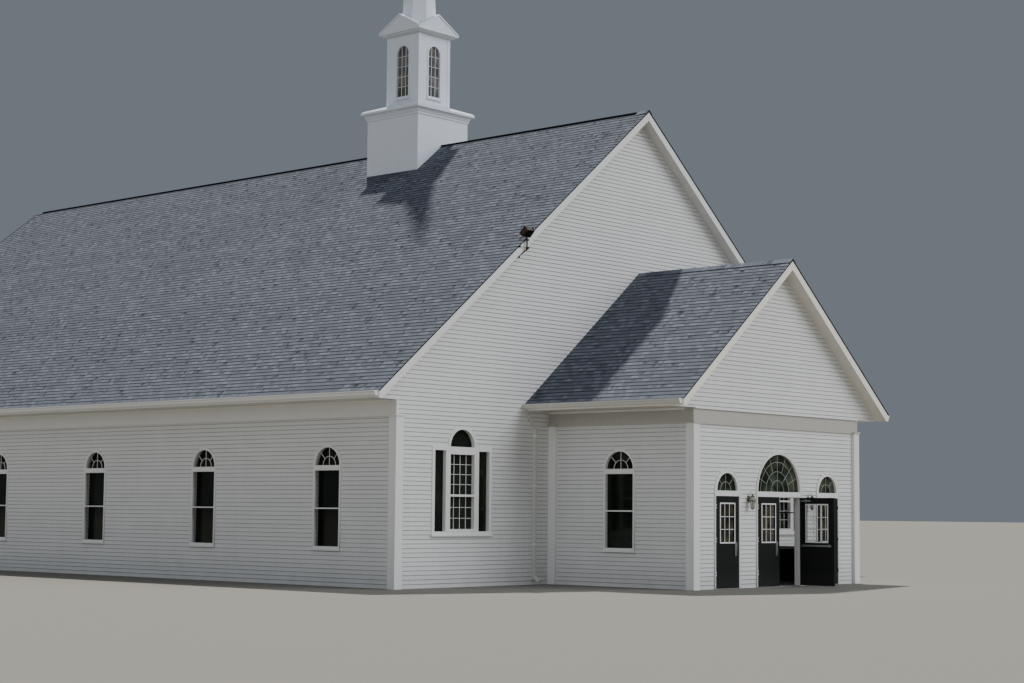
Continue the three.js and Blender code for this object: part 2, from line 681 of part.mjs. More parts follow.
function makeNaveWalls() {
  const face = nave.half - boardDepth;
  const inner = face - wallDepth;
  const front = nave.front + boardDepth;
  const rear = nave.rear - boardDepth;
  const t = threeLight;
  const frontShape = naveEndShape(true);
  for (const { sign } of sides) {
    frontShape.holes.push(threeLightPath(t.centre * sign, t.half + frameSeat, t.middleHalf + frameSeat,
      t.bottom, t.shoulder + frameSeat));
  }
  addPart('nave_front_wall', acrossPlate(frontShape, front, front + wallDepth, 16), wallWhite);
  addPart('nave_rear_wall', acrossPlate(naveEndShape(false), rear - wallDepth, rear), wallWhite);

  const w = sideWindow;
  for (const { name, sign } of sides) {
    const section = outline(mirrored(sign, [
      [face, 0], [face, roofUnder(nave.ridge, face) - seat],
      [inner, roofUnder(nave.ridge, inner) - seat], [inner, 0],
    ]));
    const holes = naveWindowCentres().map((y) => alongPlate(
      archedShape(y, w.frameHalf + frameSeat, w.bottom, w.spring), ...span(sign, inner - bite, face + bite)));
    const whole = acrossPlate(section, front + wallDepth, rear - wallDepth);
    addPart(`nave_${name}_wall`, cut(whole, ...holes), wallWhite);
    addPart(`nave_${name}_glass`, sideBox(sign, inner - seat - w.sheet, inner - seat,
      front + wallDepth + naveGlass.inset, rear - wallDepth - naveGlass.inset,
      w.bottom - naveGlass.lap, w.spring + w.frameHalf + naveGlass.lap), clearGlass);
  }
}

function makeThreeLightWindows() {
  const t = threeLight;
  const y0 = nave.front - t.proud;
  const y1 = nave.front + t.depth;
  for (const { name, sign } of sides) {
    const centre = t.centre * sign;
    const shape = new THREE.Shape();
    shape.curves = threeLightPath(centre, t.half, t.middleHalf, t.bottom + seat, t.shoulder).curves;
    shape.currentPoint.set(centre - t.half, t.bottom + seat);
    shape.holes.push(
      halfRoundPath(centre, t.middleGlass, t.shoulder),
      rectanglePath(centre - t.middleGlass, centre + t.middleGlass, t.upperBottom, t.upperTop),
      rectanglePath(centre - t.middleGlass, centre + t.middleGlass, t.lowerBottom, t.lowerTop),
      rectanglePath(centre - t.sideOuter, centre - t.sideInner, t.sideBottom, t.sideTop),
      rectanglePath(centre + t.sideInner, centre + t.sideOuter, t.sideBottom, t.sideTop),
    );
    addPart(`three_light_frame_${name}`, acrossPlate(shape, y0, y1, 16), trimWhite);
    const pane = new THREE.Shape();
    const margin = t.sheetMargin;
    pane.curves = threeLightPath(centre, t.half - margin, t.middleHalf - margin, t.bottom + margin,
      t.shoulder - margin).curves;
    pane.currentPoint.set(centre - t.half + margin, t.bottom + margin);
    addPart(`three_light_glass_${name}`, acrossPlate(pane, y1 + seat, y1 + seat + t.sheet, 16), clearGlass);
  }
}

function makeNaveRoof() {
  const rearRake = nave.rear + nave.rakeReach;
  const wall0 = nave.front + boardDepth;
  const wall1 = nave.rear - boardDepth;
  const slab0 = nave.rake + trimBoard + seat;
  const slab1 = rearRake - trimBoard - seat;
  const hung = { ...nave, roofHalf: nave.roofHalf - bite };
  for (const { name, sign } of sides) {
    addPart(`nave_roof_${name}`, roofSlab(sign, nave, slab0, slab1), shingle);
    const trim = [
      ...eaveBoards(sign, nave, nave.half - boardDepth, slab0, slab1,
        wall0 + wallDepth + seat, wall1 - wallDepth - seat),
      gutterTrough(sign, hung, nave.rake + gutter.inset, rearRake - gutter.inset),
      ...naveSideTrim(sign),
    ];
    addPart(`nave_eave_${name}`, join(...trim), trimWhite);
  }
  addPart('nave_front_rake', join(...rakeBoards(nave, nave.rake, nave.rake + trimBoard,
    nave.rake + trimBoard - deepBite, wall0 - seat)), trimWhite);
  addPart('nave_rear_rake', join(...rakeBoards(nave, rearRake - trimBoard, rearRake,
    wall1 + seat, rearRake - trimBoard + deepBite)), trimWhite);
}

// Frieze under one eave and the corner boards at its two ends
function naveSideTrim(sign) {
  const face = nave.half - boardDepth + seat;
  const friezeBottom = nave.soffit - frieze.height;
  const board = nave.half + cornerBoard.proud;
  const cap = nave.half + cornerBoard.capProud;
  const capTop = friezeBottom + cornerBoard.capDepth;
  const capBottom = friezeBottom - deepBite;
  const pieces = [
    sideBox(sign, face, nave.half + frieze.proud, nave.front - frieze.proud, nave.rear + frieze.proud,
      friezeBottom, nave.soffit - seat),
    sideBox(sign, nave.half + bedMould.bed, nave.half + frieze.proud + bedMould.proud,
      nave.front + wallDepth + bedMould.inset, nave.rear - wallDepth - bedMould.inset,
      nave.soffit - bedMould.height, nave.soffit + bite),
  ];
  for (const [line, inward] of [[nave.front, 1], [nave.rear, -1]]) {
    const out = line - inward * cornerBoard.proud;
    const capOut = line - inward * cornerBoard.capProud;
    const behind = line + inward * (boardDepth - seat);
    const corner = (x, y, along, z0, z1) => join(
      sideBox(sign, x - along, x, y, behind, z0, z1),
      sideBox(sign, face, x, y, y + inward * along, z0, z1),
    );
    pieces.push(corner(board, out, cornerBoard.width, 0, friezeBottom + bite));
    pieces.push(corner(cap, capOut, cornerBoard.width + 2 * cornerBoard.capOver, capBottom, capTop));
  }
  return pieces;
}

// The vent along the ridge, grown outwards where the steeple is cut to clear it
function ventShape(grow) {
  const half = vent.half + grow;
  const side = nave.ridge + vent.edge + grow;
  const foot = roofTop(nave.ridge, half) + seat - grow;
  return outline([
    [0, nave.ridge + vent.crown + grow], [half, side], [half, foot],
    [0, nave.ridge + seat - grow], [-half, foot], [-half, side],
  ]);
}

function makeRidgeVent() {
  addPart('ridge_vent', acrossPlate(ventShape(0), vent.front, vent.rear), ventBlack);
}

// A floodlight in front of the left barge board, on an arm that comes out from under it
const floodlight = {
  armFoot: [-4700, 4300, 7882], armEnd: [-4815, 3870, 8032], armDepth: 36,
  foot: { half: 40, front: 4290, bottom: 7840, top: 7928 },
  stem: { x: -4825, y: 3930, half: 22, bottom: 8020, top: 8250 },
  knob: { left: 30, right: 62, half: 28, bottom: 8205 },
  neck: { half: 16, top: 8330 },
  head: { width: 280, depth: 150, height: 220, tilt: 45, at: [-4880, 3880, 8410] },
};

function beam(from, to, depth) {
  const start = new THREE.Vector3(...from);
  const way = new THREE.Vector3(...to).sub(start);
  const middle = way.clone().multiplyScalar(0.5).add(start);
  return new THREE.BoxGeometry(depth, depth, way.length()).lookAt(way).translate(middle.x, middle.y, middle.z);
}

function makeFloodlight() {
  const { armFoot, armEnd, armDepth, foot, stem, knob, neck, head } = floodlight;
  const { x, y } = stem;
  const wallFace = nave.front + boardDepth - seat;
  addPart('floodlight', join(
    beam(armFoot, armEnd, armDepth),
    box(armFoot[0] - foot.half, armFoot[0] + foot.half, foot.front, wallFace, foot.bottom, foot.top),
    box(x - stem.half, x + stem.half, y - stem.half, y + stem.half, stem.bottom, stem.top),
    box(x - knob.left, x + knob.right, y - knob.half, y + knob.half, knob.bottom, stem.top),
    box(x - neck.half, x + neck.half, y - neck.half, y + neck.half, knob.bottom, neck.top),
    new THREE.BoxGeometry(head.width, head.depth, head.height)
      .rotateX(THREE.MathUtils.degToRad(head.tilt)).translate(...head.at),
  ), bronze);
}

// Steeple

// Square in plan and centred on the origin until it is moved to the steeple's place
function squareBlock(half, z0, z1) {
  return box(-half, half, -half, half, z0, z1);
}

function squareTube(half, skin, z0, z1) {
  return cut(squareBlock(half, z0, z1), squareBlock(half - skin, z0 - bite, z1 + bite));
}

function onSteeple(name, geometry, finish) {
  addPart(name, geometry.translate(0, steeple.y, 0), finish);
}

function makeSteeple() {
  const s = steeple;
  const reach = s.baseHalf * 2;
  const low = roofTop(nave.ridge, reach);
  const roofBelow = acrossPlate(outline([
    [-reach, low + seat], [0, nave.ridge + seat], [reach, low + seat],
    [reach, low - reach], [-reach, low - reach],
  ]), -reach, reach);
  const ventBelow = acrossPlate(ventShape(seat), -reach, reach);
  const baseTube = squareTube(s.baseHalf, s.baseSkin, s.baseFoot, s.baseTop);
  onSteeple('steeple_base', cut(baseTube, roofBelow, ventBelow), trimWhite);
  onSteeple('steeple_cornice', turned(cornicePoints, 4), trimWhite);

  const b = belfryShape;
  const w = belfryWindow;
  const light = archedShape(0, w.half, w.bottom, w.spring);
  const inside = b.half - b.skin;
  const foot = b.foot + seat;
  const head = b.head - seat;
  const [post0, post1] = [b.half + b.postProud - b.post, b.half + b.postProud];
  const posts = [-1, 1].flatMap((px) => [-1, 1].map(
    (py) => box(px * post0, px * post1, py * post0, py * post1, foot, head)));
  onSteeple('belfry', cut(join(squareBlock(b.half, foot, head), ...posts), squareBlock(inside, b.foot, b.head),
    acrossPlate(light, -reach, reach), alongPlate(light, -reach, reach)), trimWhite);
  const sheetTop = w.spring + w.half + w.margin;
  onSteeple('belfry_glass', squareTube(inside - seat, w.sheet, w.bottom - w.margin, sheetTop), clearGlass);
  onSteeple('spire', join(makePediments(), makeCone()), trimWhite);
}

// A prism with a gable at each of its four sides
function crossGable({ half, side, apex }, floor) {
  const section = outline([[-half, floor], [half, floor], [half, side], [0, apex], [-half, side]]);
  return join(acrossPlate(section, -half, half), alongPlate(section, -half, half));
}

function makePediments() {
  const p = pediment;
  const hollow = { half: p.half - p.shell, side: p.side - p.shell, apex: p.apex - p.shell };
  const pitch = (p.apex - p.side) / p.half;
  const base = p.floor + p.sill;
  const top = p.apex - p.rim;
  const run = (top - base) / pitch;
  const triangle = outline([[-run, base], [run, base], [0, top]]);
  const sinks = [[-p.half - bite, -p.half + p.sunk], [p.half - p.sunk, p.half + bite]].flatMap(
    (reach) => [acrossPlate(triangle, ...reach), alongPlate(triangle, ...reach)]);
  const block = cut(crossGable(p, p.floor), crossGable(hollow, p.floor - p.shell), ...sinks);
  return join(block, turned(entablaturePoints, 4));
}

function makeCone() {
  const { foot, tip, radius, tipRadius, sides: faces } = spireShape;
  return new THREE.CylinderGeometry(tipRadius, radius, tip - foot, faces)
    .rotateX(Math.PI / 2).rotateZ(Math.PI / faces).translate(0, 0, (foot + tip) / 2);
}

makeFloor();
makePorchWalls();
makePorchTrim();
makePorchRoof();
makePorchWindows();
makeDoors();
makeLanterns();
makeNaveWalls();
makeThreeLightWindows();
makeNaveRoof();
makeRidgeVent();
makeFloodlight();
makeSteeple();

export default building;
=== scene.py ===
import json
import math

import bmesh
import bpy
from mathutils import Matrix, Vector


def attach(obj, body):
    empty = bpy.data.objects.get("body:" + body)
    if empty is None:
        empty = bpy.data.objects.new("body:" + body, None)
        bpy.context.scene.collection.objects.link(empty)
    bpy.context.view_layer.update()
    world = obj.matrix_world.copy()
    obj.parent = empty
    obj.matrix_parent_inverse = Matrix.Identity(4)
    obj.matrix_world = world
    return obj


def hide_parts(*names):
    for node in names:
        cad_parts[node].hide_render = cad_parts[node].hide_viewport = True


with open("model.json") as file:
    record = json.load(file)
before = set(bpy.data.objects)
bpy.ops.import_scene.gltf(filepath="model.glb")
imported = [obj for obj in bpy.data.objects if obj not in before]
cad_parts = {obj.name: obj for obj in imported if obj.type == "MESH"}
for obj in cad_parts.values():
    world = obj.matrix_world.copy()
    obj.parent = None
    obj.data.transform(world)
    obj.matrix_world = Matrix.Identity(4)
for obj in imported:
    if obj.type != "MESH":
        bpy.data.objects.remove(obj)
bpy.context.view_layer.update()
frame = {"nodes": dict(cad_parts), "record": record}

nodes = frame["nodes"]
building = "building"


class Sizes(dict):  # a settings dictionary whose values also read as attributes
    __getattr__ = dict.__getitem__


# Camera, in metres and radians: it looks from the left of the entrance
camera = Sizes(place=(-38.5622, -25.8209, 1.7592), yaw=0.840604724, pitch=0.089136112, roll=0.009258835,
    lens=66.62)


def addCamera():
    data = bpy.data.cameras.new("camera")
    data.lens = camera.lens
    data.sensor_width = 36
    data.clip_end = 500
    data.dof.use_dof = False
    eye = bpy.data.objects.new("camera", data)
    yaw, pitch, roll = camera.yaw, camera.pitch, camera.roll
    right = Vector((math.cos(yaw), -math.sin(yaw), 0))
    ahead = Vector((math.sin(yaw), math.cos(yaw), 0))
    look = ahead * math.cos(pitch) + Vector((0, 0, math.sin(pitch)))
    up = -ahead * math.sin(pitch) + Vector((0, 0, math.cos(pitch)))
    side = right * math.cos(roll) + up * math.sin(roll)
    top = -right * math.sin(roll) + up * math.cos(roll)
    eye.matrix_world = Matrix.Translation(camera.place) @ Matrix((side, top, -look)).transposed().to_4x4()
    bpy.context.collection.objects.link(eye)
    bpy.context.scene.camera = eye


addCamera()


# Sizes, in metres, as in the solids
board = 0.012
seam = 0.0003  # between a solid and what lies on it
footing = 0.002  # the foot of what reaches the ground
tuck = 0.015  # how far clapboards run in under casings
porch = Sizes(half=3.475, front=0.0, ridge=7.9, roofHalf=4.41, rake=-0.425, soffit=4.16, gableFace=-0.07,
    cornerWidth=0.23, cornerProud=0.075, hang=0.0003)
nave = Sizes(half=8.75, front=4.31, rear=31.1, ridge=12.16, roofHalf=9.6, soffit=4.216, reach=0.32,
    cornerWidth=0.23, cornerProud=0.075, hang=-0.0007)
slope = 0.81
roofDepth = 0.2
wallDepth = 0.14
floorTop = 0.012
liningDepth = 0.0203
friezeHeight = 0.36
capDepth = 0.045
sides = {"left": -1, "right": 1}
frameHalf = {"left": 0.5, "centre": 0.955, "right": 0.5}
doorCentres = {"left": -2.15, "centre": 0.0, "right": 2.15}
archSpring = 2.274
sideWindow = Sizes(half=0.46, glass=0.412, bottom=0.84, spring=2.77, glassBottom=0.91, lowerTop=1.765,
    upperBottom=1.795, upperTop=2.65, proud=0.02, depth=0.065)
threeLight = Sizes(centre=6.595, half=1.0, middle=0.485, bottom=1.19, shoulder=3.22, glass=0.405, columns=4,
    sashes=((1.33, 2.074, 3), (2.124, 3.045, 4)))
porchWindowY = 2.15
ventSpan = (4.359, 31.051)  # where the ridge vent begins and ends
naveWindows = [nave.front + (nave.rear - nave.front) / 6 * (i + 0.5) for i in range(6)]


# Node trees written as expressions

class Wire:  # one output socket, usable in arithmetic
    def __init__(self, tree, socket):
        self.tree = tree
        self.socket = socket

    def out(self, name):
        return Wire(self.tree, self.socket.node.outputs[name])

    def maths(self, operation, *others, **more):
        values = dict(enumerate((self, *others)))
        return self.tree.add("ShaderNodeMath", {"operation": operation, **more}, values)

    def __add__(self, other):
        return self.maths("ADD", other)

    __radd__ = __add__

    def __sub__(self, other):
        return self.maths("SUBTRACT", other)

    def __rsub__(self, other):
        return self.tree.add("ShaderNodeMath", {"operation": "SUBTRACT"}, {0: other, 1: self})

    def __mul__(self, other):
        return self.maths("MULTIPLY", other)

    def __truediv__(self, other):
        return self.maths("DIVIDE", other)

    def __lt__(self, other):
        return self.maths("LESS_THAN", other)

    def __gt__(self, other):
        return self.maths("GREATER_THAN", other)

    def floor(self):
        return self.maths("FLOOR")

    def clamp(self):
        return self.maths("ADD", 0.0, use_clamp=True)

    def between(self, low, high):  # 0 below low, 1 above high, smooth in between
        return self.tree.add("ShaderNodeMapRange", {"interpolation_type": "SMOOTHSTEP"},
            {"Value": self, "From Min": low, "From Max": high}, "Result")


class Tree:  # a node tree being wired up
    def __init__(self, nodeTree):
        self.nodeTree = nodeTree

    def feed(self, socket, value):
        if isinstance(value, Wire):
            self.nodeTree.links.new(value.socket, socket)
        else:
            socket.default_value = value

    def add(self, kind, settings=None, inputs=None, out=0):
        node = self.nodeTree.nodes.new(kind)
        for key, value in (settings or {}).items():
            setattr(node, key, value)
        for key, value in (inputs or {}).items():
            self.feed(node.inputs[key], value)
        return Wire(self, node.outputs[out])

    def point(self, x=0.0, y=0.0, z=0.0):
        return self.add("ShaderNodeCombineXYZ", inputs={0: x, 1: y, 2: z})

    def axes(self, vector):
        return self.add("ShaderNodeSeparateXYZ", inputs={0: vector})


class Finish(Tree):  # a material on the principled shader
    def __init__(self, name, colour, roughness, metallic=0.0, **fixed):
        self.material = bpy.data.materials.new(name)
        self.material.use_nodes = True
        super().__init__(self.material.node_tree)
        self.shader = self.nodeTree.nodes["Principled BSDF"]
        self.set("Base Color", (*colour, 1.0))
        self.set("Roughness", roughness)
        self.set("Metallic", metallic)
        for key, value in fixed.items():
            self.set(key.replace("_", " "), value)
        self.place = self.add("ShaderNodeTexCoord", out="Object")
        place = self.axes(self.place)
        self.x, self.y, self.z = place.out("X"), place.out("Y"), place.out("Z")

    def set(self, name, value):
        self.feed(self.shader.inputs[name], value)

    def facing(self):  # 1 where a face looks up, -1 where it looks down
        return self.axes(self.place.out("Normal")).out("Z")

    def stretch(self, scale):
        return self.add("ShaderNodeVectorMath", {"operation": "MULTIPLY"}, {0: self.place, 1: scale})

    def noise(self, scale, detail=2.0, roughness=0.5, by=None):
        at = self.stretch(by) if by else self.place
        return self.add("ShaderNodeTexNoise", inputs={
            "Vector": at, "Scale": scale, "Detail": detail, "Roughness": roughness}, out="Fac")

    def attribute(self, name):
        return self.add("ShaderNodeAttribute", {"attribute_name": name}, out="Fac")

    def random(self, at):
        return self.add("ShaderNodeTexWhiteNoise", {"noise_dimensions": "3D"}, {"Vector": at}, "Value")

    def mix(self, amount, first, second):
        node = self.nodeTree.nodes.new("ShaderNodeMix")
        node.data_type = "RGBA"
        pair = [value if isinstance(value, Wire) else (*value, 1.0) for value in (first, second)]
        for socket, value in zip((node.inputs[0], node.inputs[6], node.inputs[7]), (amount, *pair)):
            self.feed(socket, value)
        return Wire(self, node.outputs[2])

    def coat(self, colour, roughness, height, distance, strength):
        self.set("Base Color", colour)
        self.set("Roughness", roughness)
        self.set("Normal", self.add("ShaderNodeBump", inputs={
            "Height": height, "Distance": distance, "Strength": strength}, out="Normal"))
        return self.material


# Finishes
siding = Sizes(exposure=0.1005, butt=0.0165, thin=0.002, gap=0.0003, length=3.66)
entrance = Sizes(half=porch.half - wallDepth, front=wallDepth + 0.008, back=nave.front - 0.005)


def paintedBoards(name, colour):  # factory-coated clapboard with a faint wood grain
    paint = Finish(name, colour, 0.55, Specular_IOR_Level=0.3)
    course = paint.z / siding.exposure
    row = course.floor()
    rise = course - row
    along = (paint.x + paint.y) / siding.length + paint.random(paint.point(row, 3.0, 7.0)) * 5.0
    tone = paint.random(paint.point(along.floor(), row, 1.0))
    joint = 1 - ((along - along.floor() - 0.5).maths("ABSOLUTE") * siding.length).between(0.0012, 0.0035)
    weather = paint.noise(0.9, 4.0, 0.6)
    streak = paint.noise(1.0, 3.0, 0.6, (7.0, 7.0, 0.5))
    darkening = (weather - 0.45) * 0.14 + (streak - 0.5) * 0.10 + tone * 0.05 + 0.02
    splash = (1 - paint.z.between(0.0, 0.7)) * paint.noise(3.0, 4.0, 0.6) * 0.30
    # painted shade: dark right under the next board and, a little, on the butt itself
    lap = rise.between(0.80, 0.97) * 0.85 + (1 - rise.between(0.0, 0.06)) * 0.12
    # the weathering, ground splash and dark joints are summed with the painted lap shade
    soilAndShade = (darkening + splash + lap * (0.8 + weather * 0.4) + joint * 0.5).clamp()
    outside = paint.mix(soilAndShade, colour, (0.24, 0.24, 0.235))
    # the wall faces inside the porch are painted near-black: painted shade of the porch room
    x, y = paint.x.maths("ABSOLUTE"), paint.y
    room = (x < entrance.half) * (y > entrance.front) * (y < entrance.back)
    grain = paint.noise(1.0, 5.0, 0.65, (9.0, 9.0, 160.0))
    base = paint.mix(room, outside, (0.060, 0.054, 0.048))
    return paint.coat(base, 0.48 + weather * 0.16, grain, 0.0012, 0.5)


def paintedTrim(name, colour, greyBand=None):  # smooth brushed paint; a band of heights may be greyer
    paint = Finish(name, colour, 0.42, Specular_IOR_Level=0.4)
    weather = paint.noise(1.6, 4.0, 0.6)
    streak = paint.noise(1.0, 3.0, 0.6, (11.0, 11.0, 0.7))
    # undersides are painted darker: painted shade
    under = 1 - paint.facing().between(-0.9, -0.4)
    darkening = (weather - 0.42) * 0.14 + (streak - 0.5) * 0.12 + 0.015 + under * 0.55
    if greyBand:
        darkening = darkening + (paint.z > greyBand[0]) * (paint.z < greyBand[1]) * 0.76
    base = paint.mix(darkening.clamp(), colour, (0.40, 0.38, 0.33))
    return paint.coat(base, 0.34 + weather * 0.2, paint.noise(45.0, 3.0, 0.6), 0.0006, 0.4)


def mineralShingle(name, dark, light):  # coloured by tab, with granules
    roof = Finish(name, light, 0.93, Specular_IOR_Level=0.2)
    tone = roof.attribute("tone")
    # the top of each course, right under the next course's butt, is darker: painted shade
    lap = roof.attribute("rise").between(0.70, 0.90)
    blend = roof.noise(0.35, 3.0, 0.55)
    granule = roof.noise(170.0, 2.0, 0.7)
    grain = roof.add("ShaderNodeVectorMath", {"operation": "FLOOR"}, {0: roof.stretch((240.0,) * 3)})
    speck = roof.random(grain)
    mixture = tone * 0.68 + blend * 0.14 + (granule - 0.5) * 0.28 + (speck - 0.5) * 0.18 + 0.11
    base = roof.mix((mixture * (1 - lap * 0.75)).clamp(), dark, light)
    return roof.coat(base, 0.86 + granule * 0.12, granule, 0.0016, 0.7)


def doorEnamel(name, colour):
    enamel = Finish(name, colour, 0.5, Specular_IOR_Level=0.14)
    wear = enamel.noise(2.2, 4.0, 0.6)
    dust = (1 - enamel.z.between(0.0, 0.5)) * enamel.noise(7.0, 4.0, 0.65)
    base = enamel.mix((dust * 0.22 + wear * 0.04).clamp(), colour, (0.09, 0.09, 0.08))
    return enamel.coat(base, 0.40 + wear * 0.2 + dust * 0.2, enamel.noise(60.0, 2.0, 0.5), 0.0004, 0.35)


def paneGlass(name, colour, alpha, paintedReflection, scale=0.8):  # the painted reflection is a second, paler colour in soft patches
    glass = Finish(name, colour, 0.04, Specular_IOR_Level=0.2, Alpha=alpha)
    # the glass's waviness also places the patches of painted reflection
    waveAndReflection = glass.noise(scale, 2.0, 0.5)
    film = glass.noise(5.0, 4.0, 0.6)
    base = glass.mix(waveAndReflection.between(0.4, 0.65), colour, paintedReflection)
    return glass.coat(base, 0.03 + film * 0.05, waveAndReflection, 0.004, 0.25)


def seededGlass(name, colour):
    glass = Finish(name, colour, 0.2, Specular_IOR_Level=0.6, Alpha=0.40)
    seed = glass.noise(60.0, 3.0, 0.6)
    base = glass.mix(seed.between(0.35, 0.7) * 0.5, colour, (0.34, 0.37, 0.26))
    return glass.coat(base, 0.14 + seed * 0.2, seed, 0.001, 0.4)


def wornMetal(name, colour, roughness, metallic, tarnish):
    metal = Finish(name, colour, roughness, metallic)
    patch = metal.noise(14.0, 4.0, 0.65)
    scratch = metal.noise(1.0, 3.0, 0.6, (260.0, 260.0, 14.0))
    base = metal.mix(patch.between(0.4, 0.75) * 0.6, colour, tarnish)
    return metal.coat(base, roughness + patch * 0.18 + scratch * 0.08, scratch, 0.0002, 0.35)


def pouredConcrete(name, colour):
    slab = Finish(name, colour, 0.9, Specular_IOR_Level=0.3)
    cloud = slab.noise(1.1, 5.0, 0.6)
    pore = slab.noise(55.0, 4.0, 0.7)
    dark, light = [tuple(value * factor for value in colour) for factor in (0.7, 1.25)]
    base = slab.mix((cloud * 0.6 + pore * 0.35).clamp(), dark, light)
    return slab.coat(base, 0.8 + pore * 0.15, pore, 0.002, 0.5)


def blackPlastic(name, colour):
    plastic = Finish(name, colour, 0.8, Specular_IOR_Level=0.1)
    dust = plastic.noise(9.0, 4.0, 0.65)
    base = plastic.mix(dust.between(0.4, 0.8) * 0.3, colour, (0.03, 0.03, 0.03))
    return plastic.coat(base, 0.7 + dust * 0.25, plastic.noise(1.0, 2.0, 0.5, (4.0, 60.0, 60.0)), 0.003, 0.5)


white = (0.86, 0.86, 0.84)
finishes = {
    "siding": paintedBoards("whiteClapboard", (0.80, 0.80, 0.79)),
    "trim": paintedTrim("whiteTrim", white),
    "shingle": mineralShingle("slateShingle", (0.024, 0.028, 0.037), (0.210, 0.233, 0.282)),
    "concrete": pouredConcrete("concrete", (0.33, 0.32, 0.30)),
    "door_paint": doorEnamel("doorEnamel", (0.0085, 0.0105, 0.0090)),
    "door_glass": paneGlass("doorGlass", (0.014, 0.013, 0.010), 0.66, (0.088, 0.074, 0.036), 2.6),
    "window_glass": paneGlass("windowGlass", (0.008, 0.011, 0.007), 0.86, (0.016, 0.022, 0.014)),
    "hardware": wornMetal("satinMetal", (0.36, 0.36, 0.37), 0.3, 1.0, (0.17, 0.17, 0.18)),
    "pewter": wornMetal("agedPewter", (0.20, 0.19, 0.165), 0.38, 0.85, (0.08, 0.075, 0.066)),
    "bronze": wornMetal("darkBronze", (0.07, 0.045, 0.035), 0.45, 0.5, (0.03, 0.022, 0.02)),
    "vent": blackPlastic("blackVent", (0.006, 0.006, 0.007)),
}
greyTrim = paintedTrim("greyTrim", (0.40, 0.43, 0.38))
# the steeple's white trim is tinted blue: painted shade lit by the sky
steepleTrim = paintedTrim("steepleTrim", (0.79, 0.84, 0.93))
lanternGlass = seededGlass("seededGlass", (0.64, 0.64, 0.52))
friezeBand = (porch.soffit - friezeHeight + 0.001, porch.soffit + 0.01)
# the fanlight glass carries painted reflections of foliage and sky, and the open leaf's window and one of the
# porch's are seen through
ownFinish = {name: finish for finish, names in (
    (paneGlass("fanlightGlass", (0.010, 0.014, 0.008), 0.86, (0.070, 0.085, 0.052), 2.2),
        "left_fanlight_glass centre_fanlight_glass right_fanlight_glass"),
    (paneGlass("belfryGlass", (0.100, 0.096, 0.080), 0.92, (0.210, 0.200, 0.165), 3.0), "belfry_glass"),
    (paneGlass("clearGlass", (0.010, 0.013, 0.010), 0.16, (0.030, 0.034, 0.026)),
        "porch_window_glass_right centre_right_door_glass"),
    (paintedTrim("friezeTrim", white, friezeBand), "porch_trim"),
    # the porch gutters take a darker copy of the white trim: painted shade
    (paintedTrim("gutterTrim", (0.66, 0.65, 0.60)), "porch_gutter_left porch_gutter_right"),
    # the porch's eaves and rakes take a brighter, warmer copy of the white trim: painted sunlight
    (paintedTrim("rakeTrim", (0.97, 0.94, 0.86)), "porch_eaves_and_rakes"),
    (steepleTrim, "steeple_base steeple_cornice belfry spire")) for name in names.split()}
slots = {entry["node"]: entry["material_slot"] for entry in frame["record"]["subparts"]}
for name, node in nodes.items():
    node.data.materials.clear()
    node.data.materials.append(ownFinish.get(name, finishes[slots[name]]))
print("finishes ready")


# Shapes

# Walls are drawn flat, x along the wall, y up and z out of it, and then stood up
facings = {"front": (1, 0, 0), "right": (0, 1, 0), "rear": (-1, 0, 0), "left": (0, -1, 0)}


def outward(facing):
    return Vector(facings[facing]).cross(Vector((0, 0, 1)))


def stand(facing, origin=(0, 0, 0)):
    turned = Matrix((Vector(facings[facing]), Vector((0, 0, 1)), outward(facing))).transposed().to_4x4()
    return Matrix.Translation(origin) @ turned


def onSide(facing, block):  # on the face of a side wall
    return stand(facing, (sides[facing] * block.half, 0, 0))


onNaveFront = stand("front", (0, nave.front, 0))


def moved(x, y, z):
    return Matrix.Translation((x, y, z))


def turn(degrees, axis):
    return Matrix.Rotation(math.radians(degrees), 4, axis)


def placed(mesh, *moves):  # the last move is applied first
    whole = Matrix.Identity(4)
    for move in moves:
        whole = whole @ move
    mesh.transform(whole)
    if whole.determinant() < 0:
        mesh.flip_normals()
    return mesh


def meshOf(shape, aligned=True):
    if aligned:
        bmesh.ops.recalc_face_normals(shape, faces=shape.faces)
    mesh = bpy.data.meshes.new("mesh")
    shape.to_mesh(mesh)
    shape.free()
    return mesh


def mergedMesh(meshes):
    whole = bmesh.new()
    for mesh in meshes:
        whole.from_mesh(mesh)
    return meshOf(whole, aligned=False)


def bakedMesh(carrier):
    graph = bpy.context.evaluated_depsgraph_get()
    mesh = bpy.data.meshes.new_from_object(carrier.evaluated_get(graph))
    bpy.data.objects.remove(carrier)
    return mesh


def curveMesh(loops, closed, **settings):
    curve = bpy.data.curves.new("curve", "CURVE")
    for key, value in settings.items():
        setattr(curve, key, value)
    for loop in loops:
        spline = curve.splines.new("POLY")
        spline.points.add(len(loop) - 1)
        for point, place in zip(spline.points, loop):
            point.co = (*place, 1)
        spline.use_cyclic_u = closed
    carrier = bpy.data.objects.new("curve", curve)
    bpy.context.collection.objects.link(carrier)
    shape = bmesh.new()
    shape.from_mesh(bakedMesh(carrier))
    bmesh.ops.remove_doubles(shape, verts=shape.verts, dist=1e-5)
    return meshOf(shape)


def flatPlate(loops, z0, z1, bevel=0.0):  # an outline with holes, given a thickness
    flat = [[(x, y, 0) for x, y in loop] for loop in loops]
    mesh = curveMesh(flat, True, dimensions="2D", fill_mode="BOTH", extrude=(z1 - z0) / 2 - bevel,
        bevel_depth=bevel, bevel_resolution=1, offset=-bevel)
    return placed(mesh, moved(0, 0, (z0 + z1) / 2))


def tubeMesh(points, radius, resolution=2):  # a round bar along a run of points
    return curveMesh([points], False, dimensions="3D", bevel_depth=radius, bevel_resolution=resolution,
        use_fill_caps=True)


def ringOf(radius, height, count, phase):
    angles = [phase + 2 * math.pi * i / count for i in range(count)]
    return [(radius * math.cos(a), radius * math.sin(a), height) for a in angles]


